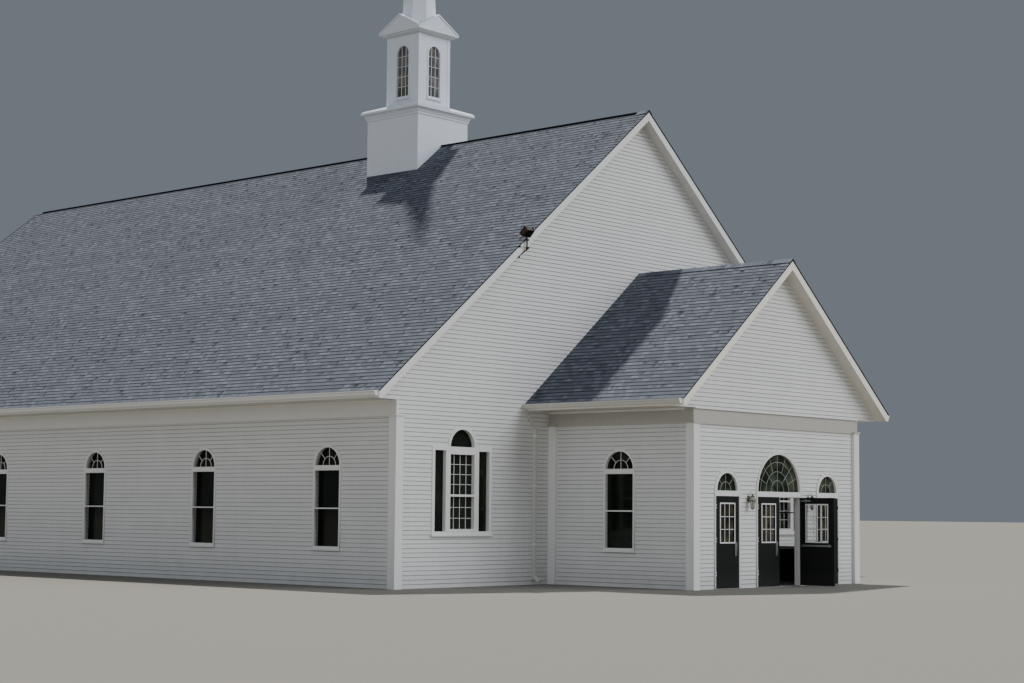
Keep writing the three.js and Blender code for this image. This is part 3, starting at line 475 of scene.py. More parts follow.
def turnedMesh(profile, count, phase=0.0, closed=False):  # pairs of radius and height, spun about Z
    shape = bmesh.new()
    rings = []
    for radius, height in profile:
        places = ringOf(radius, height, count, phase) if radius > 1e-6 else [(0, 0, height)]
        rings.append([shape.verts.new(place) for place in places])
    pairs = list(zip(rings, rings[1:]))
    if closed:
        pairs.append((rings[-1], rings[0]))
    for near, far in pairs:
        for i in range(count):
            j = (i + 1) % count
            if len(near) == 1:
                shape.faces.new((near[0], far[j], far[i]))
            elif len(far) == 1:
                shape.faces.new((near[i], near[j], far[0]))
            else:
                shape.faces.new((near[i], near[j], far[j], far[i]))
    return meshOf(shape)


def blockMesh(x0, x1, y0, y1, z0, z1, bevel=0.0):
    shape = bmesh.new()
    bmesh.ops.create_cube(shape, size=1.0)
    for vert in shape.verts:
        x, y, z = vert.co + Vector((0.5, 0.5, 0.5))
        vert.co = Vector((x0 + (x1 - x0) * x, y0 + (y1 - y0) * y, z0 + (z1 - z0) * z))
    if bevel:
        bmesh.ops.bevel(shape, geom=shape.edges[:], offset=bevel, segments=2, affect="EDGES")
    return meshOf(shape)


def rectangle(x0, x1, y0, y1):
    return [(x0, y0), (x1, y0), (x1, y1), (x0, y1)]


def arc(centre, spring, radius, steps=24):
    angles = [math.pi * i / steps for i in range(steps + 1)]
    return [(centre + radius * math.cos(a), spring + radius * math.sin(a)) for a in angles]


def arched(centre, half, bottom, spring):
    return [(centre - half, bottom), (centre + half, bottom), *arc(centre, spring, half)]


def wireMesh(paths):  # runs of points, as loose edges
    mesh = bpy.data.meshes.new("wires")
    points, edges = [], []
    for path in paths:
        first = len(points)
        points += [(x, y, 0) for x, y in path]
        edges += [(first + i, first + i + 1) for i in range(len(path) - 1)]
    mesh.from_pydata(points, edges, [])
    return mesh


# Node groups for what repeats

class GroupTree(Tree):  # the tree of a geometry node group
    def line(self, count, step, start=(0, 0, 0)):
        return self.add("GeometryNodeMeshLine", {"mode": "OFFSET"}, {
            "Count": count, "Start Location": start, "Offset": step})

    def copies(self, points, instance, **more):
        inputs = {"Points": points, "Instance": instance, **more}
        return self.add("GeometryNodeInstanceOnPoints", inputs=inputs)

    def shifted(self, geometry, **more):
        return self.add("GeometryNodeSetPosition", inputs={"Geometry": geometry, **more})

    def real(self, geometry):
        return self.add("GeometryNodeRealizeInstances", inputs={0: geometry})

    def chance(self, low, high, seed):
        return self.add("FunctionNodeRandomValue", {"data_type": "FLOAT"}, {2: low, 3: high, "Seed": seed}, 1)

    def marked(self, geometry, domain, name, value):
        return self.add("GeometryNodeStoreNamedAttribute", {"data_type": "FLOAT", "domain": domain}, {
            "Geometry": geometry, "Name": name, "Value": value})

    def toned(self, instances, seed, low, high):
        return self.marked(instances, "INSTANCE", "tone", self.chance(low, high, seed))

    def slab(self, length, rise, butt, thin):  # butt thick below, thin above, back on z = 0
        cube = self.add("GeometryNodeMeshCube", inputs={"Size": self.point(length, rise, butt)})
        place = self.axes(self.add("GeometryNodeInputPosition"))
        y, z = place.out("Y"), place.out("Z")
        upper = (y > 0.0) * (z > 0.0)
        shift = self.point(y=rise * 0.5, z=butt * 0.5 - upper * (butt - thin))
        return self.shifted(self.marked(cube, "POINT", "rise", y / rise + 0.5), Offset=shift)

    def gathered(self, kind, socket, parts, **settings):  # several geometries into one socket
        whole = self.add(kind, settings)
        for part in parts:
            self.feed(whole.socket.node.inputs[socket], part)
        return whole

    def finished(self, geometry):
        outlet = self.nodeTree.nodes.new("NodeGroupOutput")
        self.feed(outlet.inputs[0], self.real(geometry))
        return self.nodeTree


def newGroup(name, **inputs):  # for each kind of socket, the names of the inputs
    group = bpy.data.node_groups.new(name, "GeometryNodeTree")
    for way in ("INPUT", "OUTPUT"):
        group.interface.new_socket(name="Geometry", in_out=way, socket_type="NodeSocketGeometry")
    for kind, labels in inputs.items():
        for label in labels.split():
            group.interface.new_socket(name=label, in_out="INPUT", socket_type="NodeSocket" + kind)
    tree = GroupTree(group)
    return tree, tree.add("NodeGroupInput").out


def runGroup(group, base=None, **values):
    carrier = bpy.data.objects.new("carrier", base or bpy.data.meshes.new("carrier"))
    bpy.context.collection.objects.link(carrier)
    modifier = carrier.modifiers.new("nodes", "NODES")
    modifier.node_group = group
    labels = {item.name: item.identifier for item in group.interface.items_tree
        if item.item_type == "SOCKET" and item.in_out == "INPUT"}
    for label, value in values.items():
        modifier[labels[label]] = value
    return bakedMesh(carrier)


def clapboardGroup():
    tree, take = newGroup("clapboards", Float="Length Foot", Int="Courses", Object="Outline")
    slab = tree.slab(take("Length"), siding.exposure - siding.gap, siding.butt, siding.thin)
    rows = tree.line(take("Courses"), tree.point(y=siding.exposure), tree.point(y=take("Foot")))
    outline = tree.add("GeometryNodeObjectInfo", inputs={"Object": take("Outline")}, out="Geometry")
    parts = (tree.real(tree.copies(rows, slab)), outline)
    return tree.finished(tree.gathered(
        "GeometryNodeMeshBoolean", "Mesh 2", parts, operation="INTERSECT", solver="EXACT"))


def barGroup():  # loose edges become bars with a square section
    tree, take = newGroup("bars", Float="Width Depth Back")
    curve = tree.add("GeometryNodeMeshToCurve", inputs={"Mesh": take("Geometry")})
    upright = tree.add("GeometryNodeSetCurveNormal", {"mode": "Z_UP"}, {"Curve": curve})
    section = tree.add("GeometryNodeCurvePrimitiveQuadrilateral", {"mode": "RECTANGLE"}, {
        "Width": take("Width"), "Height": take("Depth")})
    solid = tree.add("GeometryNodeCurveToMesh", inputs={
        "Curve": upright, "Profile Curve": section, "Fill Caps": True})
    return tree.finished(tree.shifted(solid, Offset=tree.point(z=take("Back") + take("Depth") * 0.5)))


clapboards = clapboardGroup()
bars = barGroup()


def barMesh(paths, section, back):
    return runGroup(bars, wireMesh(paths), Width=section.width, Depth=section.depth, Back=back)


def addPiece(name, mesh, slot, at=None, body=building, stands=(), finish=None):
    if at is not None:
        placed(mesh, at)
    mesh.name = name
    mesh.materials.clear()
    mesh.materials.append(finish or finishes[slot])
    piece = bpy.data.objects.new(name, mesh)
    bpy.context.collection.objects.link(piece)
    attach(piece, body)
    if stands:
        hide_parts(*stands)


# Clapboards

def addSiding(name, at, outer, holes=()):
    xs, ys = zip(*outer)
    middle = (min(xs) + max(xs)) / 2
    outline = placed(flatPlate([outer, *holes], -0.01, 0.04), moved(-middle, 0, 0))
    cutter = bpy.data.objects.new("outline", outline)
    bpy.context.collection.objects.link(cutter)
    first = math.floor(min(ys) / siding.exposure)
    courses = math.ceil(max(ys) / siding.exposure) - first + 1
    mesh = runGroup(clapboards, Length=max(xs) - min(xs) + 0.1, Courses=courses,
        Foot=first * siding.exposure, Outline=cutter)
    bpy.data.objects.remove(cutter)
    addPiece(name, mesh, "siding", at @ moved(middle, 0, seam))


def addSideSidings(name, block, near, far, top, windows):
    w = sideWindow
    for side, sign in sides.items():
        ends = sorted((sign * near, sign * far))
        holes = [arched(sign * y, w.half - tuck, w.bottom + tuck, w.spring) for y in windows]
        at = stand(side, (sign * (block.half - board), 0, 0))
        addSiding(name + side.title() + "Siding", at, rectangle(*ends, footing, top), holes)


def gableWall(block):  # half the foot, the foot's height and the tip of the wall that fills a gable
    tip = block.ridge - roofDepth - liningDepth - 0.001
    foot = block.soffit + 0.001
    return (tip - foot) / slope, foot, tip


def addPorchSidings():
    inner = porch.half + porch.cornerProud - porch.cornerWidth
    frieze = porch.soffit - friezeHeight
    # the doorways reach the ground, so they're bitten out of the outline itself
    front = [(-inner, footing)]
    for side, centre in doorCentres.items():
        half = frameHalf[side] - tuck
        bite = reversed(arc(centre, archSpring, half))
        front += [(centre - half, footing), *bite, (centre + half, footing)]
    front += [(inner, footing), (inner, frieze), (-inner, frieze)]
    addSiding("porchFrontSiding", stand("front", (0, porch.front + board, 0)), front)
    wing, foot, tip = gableWall(porch)
    gable = [(-wing, foot), (wing, foot), (0, tip)]
    addSiding("porchGableSiding", stand("front", (0, porch.gableFace + board, 0)), gable)
    near = porch.cornerWidth - porch.cornerProud
    addSideSidings("porch", porch, near, nave.front - porch.cornerWidth, frieze, [porchWindowY])


def threeLightHole(centre):
    t = threeLight
    half, middle, bottom, shoulder = t.half - tuck, t.middle - tuck, t.bottom + tuck, t.shoulder - tuck
    return [(centre - half, bottom), (centre + half, bottom), (centre + half, shoulder),
        (centre + middle, shoulder), *arc(centre, t.shoulder, middle), (centre - half, shoulder)]


def addNaveSidings():
    corner = nave.half + nave.cornerProud - nave.cornerWidth
    cap = nave.soffit - friezeHeight + capDepth
    flat = nave.half - board
    wing, eaves, tip = gableWall(nave)
    edge = [(corner, footing), (corner, cap), (flat, cap), (flat, eaves), (wing, eaves), (0, tip)]
    at = stand("front", (0, nave.front + board, 0))
    # outside, the porch's wall and roof take a bite out of each half
    wall = porch.half - board + 0.002
    eave = porch.roofHalf - 0.022
    soffit = porch.soffit + 0.02
    ridge = porch.ridge + 0.003
    bite = [(0, ridge), (eave, ridge - slope * eave), (eave, soffit), (wall, soffit)]
    for side, sign in sides.items():
        half = [(sign * x, y) for x, y in [(wall, footing), *edge, *bite]]
        addSiding("naveFront" + side.title() + "Siding", at, half, [threeLightHole(sign * threeLight.centre)])
    # then the wall as seen inside the porch, round the inner doorway
    room = entrance.half - board - 0.002
    door = frameHalf["centre"] + 0.001
    foot = floorTop + 0.004
    ridge = porch.ridge - roofDepth - 0.004
    eaves = ridge - slope * room
    addSiding("entranceInnerSiding", at, [
        (-room, foot), (-door, foot), (-door, archSpring), (door, archSpring), (door, foot), (room, foot),
        (room, eaves), (0, ridge), (-room, eaves)])
    rear = [(-corner, footing), *edge, *((-x, y) for x, y in reversed(edge[1:-1]))]
    addSiding("naveRearSiding", stand("rear", (0, nave.rear - board, 0)), rear)
    inset = nave.cornerWidth - nave.cornerProud
    frieze = nave.soffit - friezeHeight
    addSideSidings("nave", nave, nave.front + inset, nave.rear - inset, frieze, naveWindows)


addPorchSidings()
addNaveSidings()
print("clapboards on")


# Roof shingles: whole courses, and on them one raised tab per cell of a grid
roofing = Sizes(exposure=0.143, butt=0.012, thin=0.003, overhang=0.012, lap=1.02, tones=(0.30, 0.48))
tab = Sizes(width=0.165, cell=0.185, lift=0.0025, butt=0.75, length=0.98, shift=0.42, missing=0.38,
    widths=(0.55, 1.45), tones=(0.12, 0.88))


def shingleGroup():
    tree, take = newGroup("shingles", Float="Length Exposure", Int="Courses Columns Seed")
    length, exposure, courses, columns, seed = map(take, "Length Exposure Courses Columns Seed".split())
    rows = tree.line(courses, tree.point(y=exposure))
    course = tree.slab(length, exposure * roofing.lap, roofing.butt, roofing.thin)
    under = tree.toned(tree.copies(rows, course), seed, *roofing.tones)
    index = tree.add("GeometryNodeInputIndex")
    row = (index / columns + 1e-4).floor()
    jitter = tree.chance(-tab.shift, tab.shift, seed + 1)
    across = (index - row * columns + 0.5 + jitter) * (length / columns) - length * 0.5
    # tabs at the two ends stay inside the roof
    end = length * 0.5 - tab.width * 0.75
    across = across.maths("MAXIMUM", end * -1.0).maths("MINIMUM", end)
    spot = tree.point(across, row * exposure, tab.lift)
    cells = tree.shifted(tree.add("GeometryNodePoints", inputs={"Count": courses * columns}), Position=spot)
    drop = tree.add("FunctionNodeRandomValue", {"data_type": "BOOLEAN"}, {
        "Probability": tab.missing, "Seed": seed + 2}, 3)
    cells = tree.add("GeometryNodeDeleteGeometry", {"domain": "POINT"}, {
        "Geometry": cells, "Selection": drop})
    piece = tree.slab(tab.width, exposure * tab.length, roofing.butt * tab.butt, roofing.thin)
    width = tree.point(tree.chance(*tab.widths, seed + 3), 1.0, 1.0)
    tabs = tree.toned(tree.copies(cells, piece, Scale=width), seed + 4, *tab.tones)
    return tree.finished(tree.gathered("GeometryNodeJoinGeometry", 0, (under, tabs)))


def capGroup():  # the base mesh is one cap, repeated along Y
    tree, take = newGroup("ridgeCaps", Float="Step", Int="Count Seed")
    caps = tree.copies(tree.line(take("Count"), tree.point(y=take("Step"))), take("Geometry"))
    return tree.finished(tree.toned(caps, take("Seed"), 0.1, 0.8))


shingles = shingleGroup()
ridgeCaps = capGroup()


def addShingles(name, block, sign, span, seed):
    length = span[1] - span[0]
    tilt = math.atan(slope)
    run = block.roofHalf + roofing.overhang
    slant = run / math.cos(tilt)
    courses = round(slant / roofing.exposure)
    mesh = runGroup(shingles, Length=length, Courses=courses, Columns=round(length / tab.cell),
        Exposure=slant / courses * 0.9995, Seed=seed)
    up = Vector((-sign * math.cos(tilt), 0, math.sin(tilt)))
    out = Vector((sign * math.sin(tilt), 0, math.cos(tilt)))
    eave = moved(sign * run, sum(span) / 2, block.ridge - slope * run)
    addPiece(name, mesh, "shingle", eave @ Matrix((up.cross(out), up, out)).transposed().to_4x4())


dripEdge = Sizes(proud=0.009, height=0.03, lap=0.012)
frontEdge = nave.front - nave.reach
rearEdge = nave.rear + nave.reach
naveSpan = (frontEdge - dripEdge.lap, rearEdge - dripEdge.proud)
porchSpan = (porch.rake - dripEdge.lap, nave.front - 0.001)
for label, block, span, seeds in (("nave", nave, naveSpan, (11, 23)), ("porch", porch, porchSpan, (37, 41))):
    for (side, sign), seed in zip(sides.items(), seeds):
        addShingles(label + "Shingles" + side.title(), block, sign, span, seed)


def addDripEdge(name, block, y, top, height):  # black metal along both slopes, top above the roof line
    run = block.roofHalf + roofing.overhang
    upper = [(x, block.ridge + top - slope * abs(x)) for x in (-run, 0, run)]
    band = upper + [(x, z - height) for x, z in reversed(upper)]
    addPiece(name, flatPlate([band], 0.0005, dripEdge.proud), "vent", stand("front", (0, y, 0)))


addDripEdge("porchDripEdge", porch, porch.rake, -0.0005, dripEdge.height)
addDripEdge("naveFrontDripEdge", nave, frontEdge, -0.0005, dripEdge.height)
addDripEdge("naveRearDripEdge", nave, rearEdge, dripEdge.height - 0.006, dripEdge.height - 0.007)

cap = Sizes(half=0.135, length=0.3, step=0.143, butt=0.030, head=0.016, thick=0.006)


def capMesh():  # one folded cap, its butt end at y = 0 riding on the cap before it
    c = cap
    shape = bmesh.new()
    rings = []
    for y, lift in ((0.0, c.butt), (c.length, c.head)):
        corners = [(x, c.thick) for x in (-c.half, 0, c.half)] + [(x, 0) for x in (c.half, 0, -c.half)]
        rings.append([shape.verts.new((x, y, lift + rise - slope * abs(x))) for x, rise in corners])
    near, far = rings
    for i in range(6):
        j = (i + 1) % 6
        shape.faces.new((near[i], near[j], far[j], far[i]))
    for ring in rings:
        shape.faces.new((ring[0], ring[1], ring[4], ring[5]))
        shape.faces.new(ring[1:5])
    return meshOf(shape)


def addCaps(name, block, y0, y1, seed):
    reach = y1 - y0 - cap.length
    gaps = math.ceil(reach / cap.step)
    mesh = runGroup(ridgeCaps, capMesh(), Count=gaps + 1, Step=reach / gaps, Seed=seed)
    addPiece(name, mesh, "shingle", moved(0, y0, block.ridge))


addCaps("porchRidgeCaps", porch, *porchSpan, 53)
addCaps("naveFrontRidgeCaps", nave, naveSpan[0], ventSpan[0], 59)
addCaps("naveRearRidgeCaps", nave, ventSpan[1], naveSpan[1], 61)
print("shingles on")


# Window bars and sashes
bar = Sizes(width=0.012, depth=0.014, sideBack=-0.062, threeBack=-0.078)
grille = Sizes(width=0.009, depth=0.006, y=0.0445)  # the fanlights' bars, laid on the glass
# where a fan's rings lie, as shares of its radius, and the angles of the spokes that start there
centreFan = {0.0: (90,), 0.305: (45, 135), 0.545: (22.5, 67.5, 112.5, 157.5), 0.80: ()}
smallFan = {0.0: (90,), 0.51: (45, 135)}
fanlights = {"left": (0.415, smallFan), "centre": (0.9, centreFan), "right": (0.415, smallFan)}


def fanPaths(centre, spring, radius, fan):
    paths = [arc(centre, spring, radius * ring, 20) for ring in fan if ring]
    for ring, angles in fan.items():
        for way in map(math.radians, angles):
            paths.append([(centre + radius * share * math.cos(way), spring + radius * share * math.sin(way))
                for share in (ring, 1)])
    return paths


def gridPaths(x0, x1, y0, y1, columns, rows):
    uprights = [x0 + (x1 - x0) * i / columns for i in range(1, columns)]
    rails = [y0 + (y1 - y0) * i / rows for i in range(1, rows)]
    return [[(x, y0), (x, y1)] for x in uprights] + [[(x0, y), (x1, y)] for y in rails]


def addFanlights():
    for side, centre in doorCentres.items():
        mesh = barMesh(fanPaths(centre, archSpring, *fanlights[side]), grille, 0.0)
        addPiece(side + "FanlightBars", mesh, "trim", stand("front", (0, grille.y, 0)), finish=greyTrim)


sill = Sizes(over=0.03, rise=0.012, height=0.042, back=-0.008, front=0.055, bevel=0.004)


def sillMesh(centre, half, bottom):
    reach, top = half + sill.over, bottom + sill.rise
    return blockMesh(centre - reach, centre + reach, top - sill.height, top, sill.back, sill.front,
        sill.bevel)


def sashMesh(centre):  # casing, sashes and sill of one nave window, drawn flat
    w = sideWindow
    lights = [rectangle(centre - w.glass, centre + w.glass, *ends) for ends in (
        (w.upperBottom, w.upperTop), (w.glassBottom, w.lowerTop))]
    loops = [arched(centre, w.half, w.bottom, w.spring), arc(centre, w.spring, w.glass), *lights]
    return mergedMesh([flatPlate(loops, -w.depth, w.proud, 0.004), sillMesh(centre, w.half, w.bottom)])


def sideFan(centre):
    return barMesh(fanPaths(centre, sideWindow.spring, sideWindow.glass, smallFan), bar, bar.sideBack)


def addSideWindows():
    for side, sign in sides.items():
        meshes = []
        for y in naveWindows:
            meshes += [sashMesh(sign * y), sideFan(sign * y)]
        addPiece("naveWindows" + side.title(), mergedMesh(meshes), "trim", onSide(side, nave))
        addPiece("porchWindowBars" + side.title(), sideFan(sign * porchWindowY), "trim", onSide(side, porch))


def addThreeLightBars():  # only the two sashes of the middle light have bars
    t = threeLight
    for side, sign in sides.items():
        edges = (sign * t.centre - t.glass, sign * t.centre + t.glass)
        paths = []
        for bottom, top, rows in t.sashes:
            paths += gridPaths(*edges, bottom, top, t.columns, rows)
        addPiece("threeLightBars" + side.title(), barMesh(paths, bar, bar.threeBack), "trim", onNaveFront)


casing = Sizes(lap=0.018, reach=0.003, back=-0.0115, front=0.029, bevel=0.003)


def bandMesh(centre, half, bottom, spring):  # a casing moulding round an arched opening
    inner, outer = [[(centre + radius, bottom), *arc(centre, spring, radius, 32), (centre - radius, bottom)]
        for radius in (half - casing.lap, half + casing.reach)]
    return flatPlate([outer + inner[::-1]], casing.back, casing.front, casing.bevel)


def windowBand(centre):
    return bandMesh(centre, sideWindow.half, sideWindow.bottom, sideWindow.spring)


def addCasings():
    w, t = sideWindow, threeLight
    for side, centre in doorCentres.items():
        mesh = bandMesh(centre, frameHalf[side], floorTop + 0.001, archSpring)
        addPiece(side + "DoorCasing", mesh, "trim", stand("front"))
    for side, sign in sides.items():
        label, centre = side.title(), sign * porchWindowY
        whole = mergedMesh([windowBand(centre), sillMesh(centre, w.half, w.bottom)])
        addPiece("porchCasing" + label, whole, "trim", onSide(side, porch))
        whole = mergedMesh([windowBand(sign * y) for y in naveWindows])
        addPiece("naveCasings" + label, whole, "trim", onSide(side, nave))
        addPiece("threeLightSill" + label, sillMesh(sign * t.centre, t.half, t.bottom), "trim", onNaveFront)


# The belfry's windows, drawn once and stood up on its four faces
belfry = Sizes(y=12.456, face=0.635, half=0.237, bottom=13.63, spring=14.873, border=0.053, proud=0.018,
    sillHalf=0.31, sillBottom=13.53, sillTop=13.585, sillProud=0.055, bar=0.079, row=0.293, rows=4,
    width=0.014, depth=0.018, back=-0.049)


def addBelfryWindows():
    b = belfry
    paths = [[(x, b.bottom), (x, b.spring + math.sqrt(b.half ** 2 - x ** 2))] for x in (-b.bar, b.bar)]
    rails = [b.bottom + b.row * (i + 1) for i in range(b.rows)]
    paths += [[(-b.half, y), (b.half, y)] for y in rails]
    loops = [arched(0, b.half + edge, b.bottom - edge, b.spring) for edge in (b.border, 0)]
    window = mergedMesh([flatPlate(loops, seam, b.proud, 0.003),
        blockMesh(-b.sillHalf, b.sillHalf, b.sillBottom, b.sillTop, seam, b.sillProud, 0.004),
        barMesh(paths, b, b.back)])
    faces = [placed(window.copy(), stand(facing, outward(facing) * b.face + Vector((0, b.y, 0))))
        for facing in facings]
    addPiece("belfryWindows", mergedMesh(faces), "trim", finish=steepleTrim)


addFanlights()
addSideWindows()
addThreeLightBars()
addCasings()
addBelfryWindows()
print("window bars in")


# Doors, each drawn from its pin with x along the leaf, y up and z out of its outer face
leafShape = Sizes(forward=0.012, depth=0.045, edge=0.002)
leaves = {
    "left_door": Sizes(pin=-2.612, closesTo=1, width=0.914, turn=0),
    "centre_left_door": Sizes(pin=-0.914, closesTo=1, width=0.907, turn=0),
    "centre_right_door": Sizes(pin=0.914, closesTo=-1, width=0.907, turn=97),
    "right_door": Sizes(pin=2.612, closesTo=-1, width=0.914, turn=0),
}
pinY = -0.03
leafFront = -leafShape.forward
leafBack = leafFront - leafShape.depth
doorLite = Sizes(width=0.55, bottom=1.08, top=1.965, border=0.03, glassIn=0.0192, proud=0.005, sunk=0.003,
    bevel=0.002, columns=3, rows=3)
doorBar = Sizes(width=0.016, depth=0.007)


def onLeaf(leaf):
    mirror = Matrix.Scale(leaf.closesTo, 4, (1, 0, 0))
    return moved(leaf.pin, pinY, 0) @ turn(leaf.turn, "Z") @ stand("front") @ mirror


def leafMiddle(leaf):
    return leafShape.edge + leaf.width / 2


def liteMesh(leaf):
    d = doorLite
    x0, x1 = leafMiddle(leaf) - d.width / 2, leafMiddle(leaf) + d.width / 2
    loops = [rectangle(x0 - edge, x1 + edge, d.bottom - edge, d.top + edge) for edge in (d.border, 0)]
    paths = gridPaths(x0, x1, d.bottom, d.top, d.columns, d.rows)
    return mergedMesh([
        flatPlate(loops, leafFront - d.sunk, leafFront + d.proud, d.bevel),
        flatPlate(loops, leafBack - d.proud, leafBack + d.sunk, d.bevel),
        barMesh(paths, doorBar, leafFront - d.glassIn),
        barMesh(paths, doorBar, leafBack + d.glassIn - doorBar.depth)])


# A pull on a long plate outside, an exit bar with its two housings inside
pull = Sizes(inset=0.14, bottom=0.75, top=1.085, stand=0.045, radius=0.011, bend=0.014, plateHalf=0.022,
    plateOver=0.012, plate=0.004, bevel=0.0015)
exitBar = Sizes(bottom=0.95, top=1.01, reach=0.075, half=0.39, housing=0.095, bar=0.035, inset=0.008,
    ends=0.01)


def pullMeshes(at):
    p = pull
    low, high = p.bottom + p.radius, p.top - p.radius
    out = leafFront + p.stand - p.radius
    foot = [(0, leafFront), (0, out - p.bend), (p.bend * 0.3, out - p.bend * 0.3), (p.bend, out)]
    grip = [(at, low + y, z) for y, z in foot] + [(at, high - y, z) for y, z in reversed(foot)]
    plate = rectangle(at - p.plateHalf, at + p.plateHalf, p.bottom - p.plateOver, p.top + p.plateOver)
    return [tubeMesh(grip, p.radius, 3), flatPlate([plate], leafFront, leafFront + p.plate, p.bevel)]


def exitBarMeshes(middle):
    e = exitBar
    inner = leafBack - e.reach
    reach = e.half - e.ends
    parts = [blockMesh(middle - reach, middle + reach, e.bottom + e.inset, e.top - e.inset, inner,
        inner + e.bar, 0.006)]
    for way in (-1, 1):
        ends = sorted((middle + way * e.half, middle + way * (e.half - e.housing)))
        parts.append(blockMesh(*ends, e.bottom, e.top, inner, leafBack - seam, 0.01))
    return parts


# The body of the closer at the head of each leaf, near the hinges
closer = Sizes(ends=(0.036, 0.306), bottom=2.048, top=2.080, depth=0.044, footIn=0.02, footOver=0.006,
    foot=0.012)


def closerMesh():
    c = closer
    start, end = c.ends
    back = leafBack - seam
    height, axis = (c.bottom + c.top) / 2, back - c.depth / 2
    spindle = turnedMesh([(0, -0.04), (0.011, -0.04), (0.011, 0.04), (0, 0.04)], 12)
    parts = [blockMesh(start, end, c.bottom, c.top, back - c.depth, back, 0.009),
        blockMesh(start + c.footIn, end - c.footIn, c.bottom - c.footOver, c.top + c.footOver,
            back - c.foot, back, 0.002),
        placed(spindle, moved((start + end) / 2, height, axis), turn(90, "X"))]
    for x in c.ends:
        knob = turnedMesh([(0, -0.008), (0.012, -0.008), (0.014, 0.0), (0.012, 0.008), (0, 0.008)], 16)
        parts.append(placed(knob, moved(x, height, axis), turn(90, "Y")))
    return mergedMesh(parts)


for name, leaf in leaves.items():
    at = onLeaf(leaf)
    fittings = pullMeshes(leafShape.edge + leaf.width - pull.inset) + exitBarMeshes(leafMiddle(leaf))
    addPiece(name + "_lite", liteMesh(leaf), "trim", at, name)
    addPiece(name + "_grips", mergedMesh(fittings), "hardware", at, name, stands=(name + "_fittings",))
    addPiece(name + "_closer", closerMesh(), "hardware", at, name)
print("doors dressed")


# Wall lanterns
lantern = Sizes(x=1.28, y=-0.12, plateHalf=0.056, plateMiddle=2.095, plateRise=0.075, plate=0.014,
    rod=0.0055, hookFoot=2.10, hookSpring=2.19, hookTop=2.25, glassFoot=1.872, band=2.034, bandTop=2.06,
    head=2.14, footRadius=0.041, bandRadius=0.069, headRadius=0.046, sides=8, frame=0.0027)
scroll = Sizes(y=-0.05, z=2.125, radius=0.030, shrink=0.0022, start=1.9, step=0.5, points=13, wire=0.004)
lanternPhase = math.pi / lantern.sides
# the glass in two tiers, each from its lower edge to its upper one, as radius and height
lanternGlazing = (((lantern.footRadius, lantern.glassFoot), (lantern.bandRadius, lantern.band)),
    ((lantern.bandRadius - 0.002, lantern.bandTop), (lantern.headRadius, lantern.head)))
# finial, collar, dome and lamp: pairs of radius and height, the number of sides, and whether it closes
lanternProfiles = (
    ([(0, 1.835), (0.010, 1.837), (0.013, 1.844), (0.024, 1.849), (0.040, 1.860), (0.046, 1.868),
        (0.045, 1.875), (0, 1.875)], 16, False),
    ([(0.063, 2.030), (0.078, 2.032), (0.082, 2.040), (0.079, 2.047), (0.082, 2.053), (0.075, 2.062),
        (0.063, 2.062)], lantern.sides, True),
    ([(0, 2.137), (0.050, 2.137), (0.057, 2.146), (0.047, 2.155), (0.033, 2.168), (0.027, 2.186),
        (0.016, 2.194), (0.012, 2.206), (0, 2.210)], lantern.sides, False),
    ([(0, 1.874), (0.012, 1.874), (0.012, 2.02), (0.008, 2.024), (0.016, 2.05), (0.011, 2.078),
        (0, 2.098)], 12, False))


def platePart(size, z0, z1, bevel):
    n = lantern
    corners = ((-0.7, -1), (0.7, -1), (1, -0.72), (1, 0.72), (0.7, 1), (-0.7, 1), (-1, 0.72), (-1, -0.72))
    loop = [(size * n.plateHalf * x, n.plateMiddle + size * n.plateRise * y) for x, y in corners]
    return placed(flatPlate([loop], z0, z1, bevel), stand("front"))


def lanternMesh():
    n = lantern
    back = -n.plate - n.rod
    middle, reach, rise = (back + n.y) / 2, (back - n.y) / 2, n.hookTop - n.rod - n.hookSpring
    bend = [(0, middle + reach * x, n.hookSpring + rise * z) for x, z in arc(0, 0, 1, 14)]
    s = scroll
    turns = [(s.radius - s.shrink * i, s.start + s.step * i) for i in range(s.points)]
    spiral = [(0, s.y + r * math.cos(a), s.z + r * math.sin(a)) for r, a in turns]
    hook = [(0, back, n.hookFoot), *bend, (0, n.y, n.hookSpring + 0.01)]
    parts = [platePart(1, -0.0115, n.plate, 0.004), platePart(0.6, n.plate - 0.002, n.plate + 0.005, 0.003),
        tubeMesh(hook, n.rod), tubeMesh(spiral, s.wire)]
    body = moved(0, n.y, 0)
    for profile, count, closed in lanternProfiles:
        phase = lanternPhase if count == n.sides else 0.0
        parts.append(placed(turnedMesh(profile, count, phase, closed), body))
    for i in range(n.sides):
        for tier in lanternGlazing:
            ends = [ringOf(radius, height, n.sides, lanternPhase)[i] for radius, height in tier]
            parts.append(placed(tubeMesh(ends, n.frame, 1), body))
    return mergedMesh(parts)


def lanternPanes():
    panes = []
    for (r0, z0), (r1, z1) in lanternGlazing:
        shell = [(r0 - 0.001, z0), (r1 - 0.001, z1), (r1 - 0.004, z1), (r0 - 0.004, z0)]
        panes.append(turnedMesh(shell, lantern.sides, lanternPhase, True))
    return placed(mergedMesh(panes), moved(0, lantern.y, 0))


for side, sign in sides.items():
    name, at = "lantern" + side.title(), moved(sign * lantern.x, 0, 0)
    addPiece(name, lanternMesh(), "pewter", at, stands=("lantern_" + side,))
    addPiece(name + "Panes", lanternPanes(), "window_glass", at, finish=lanternGlass)


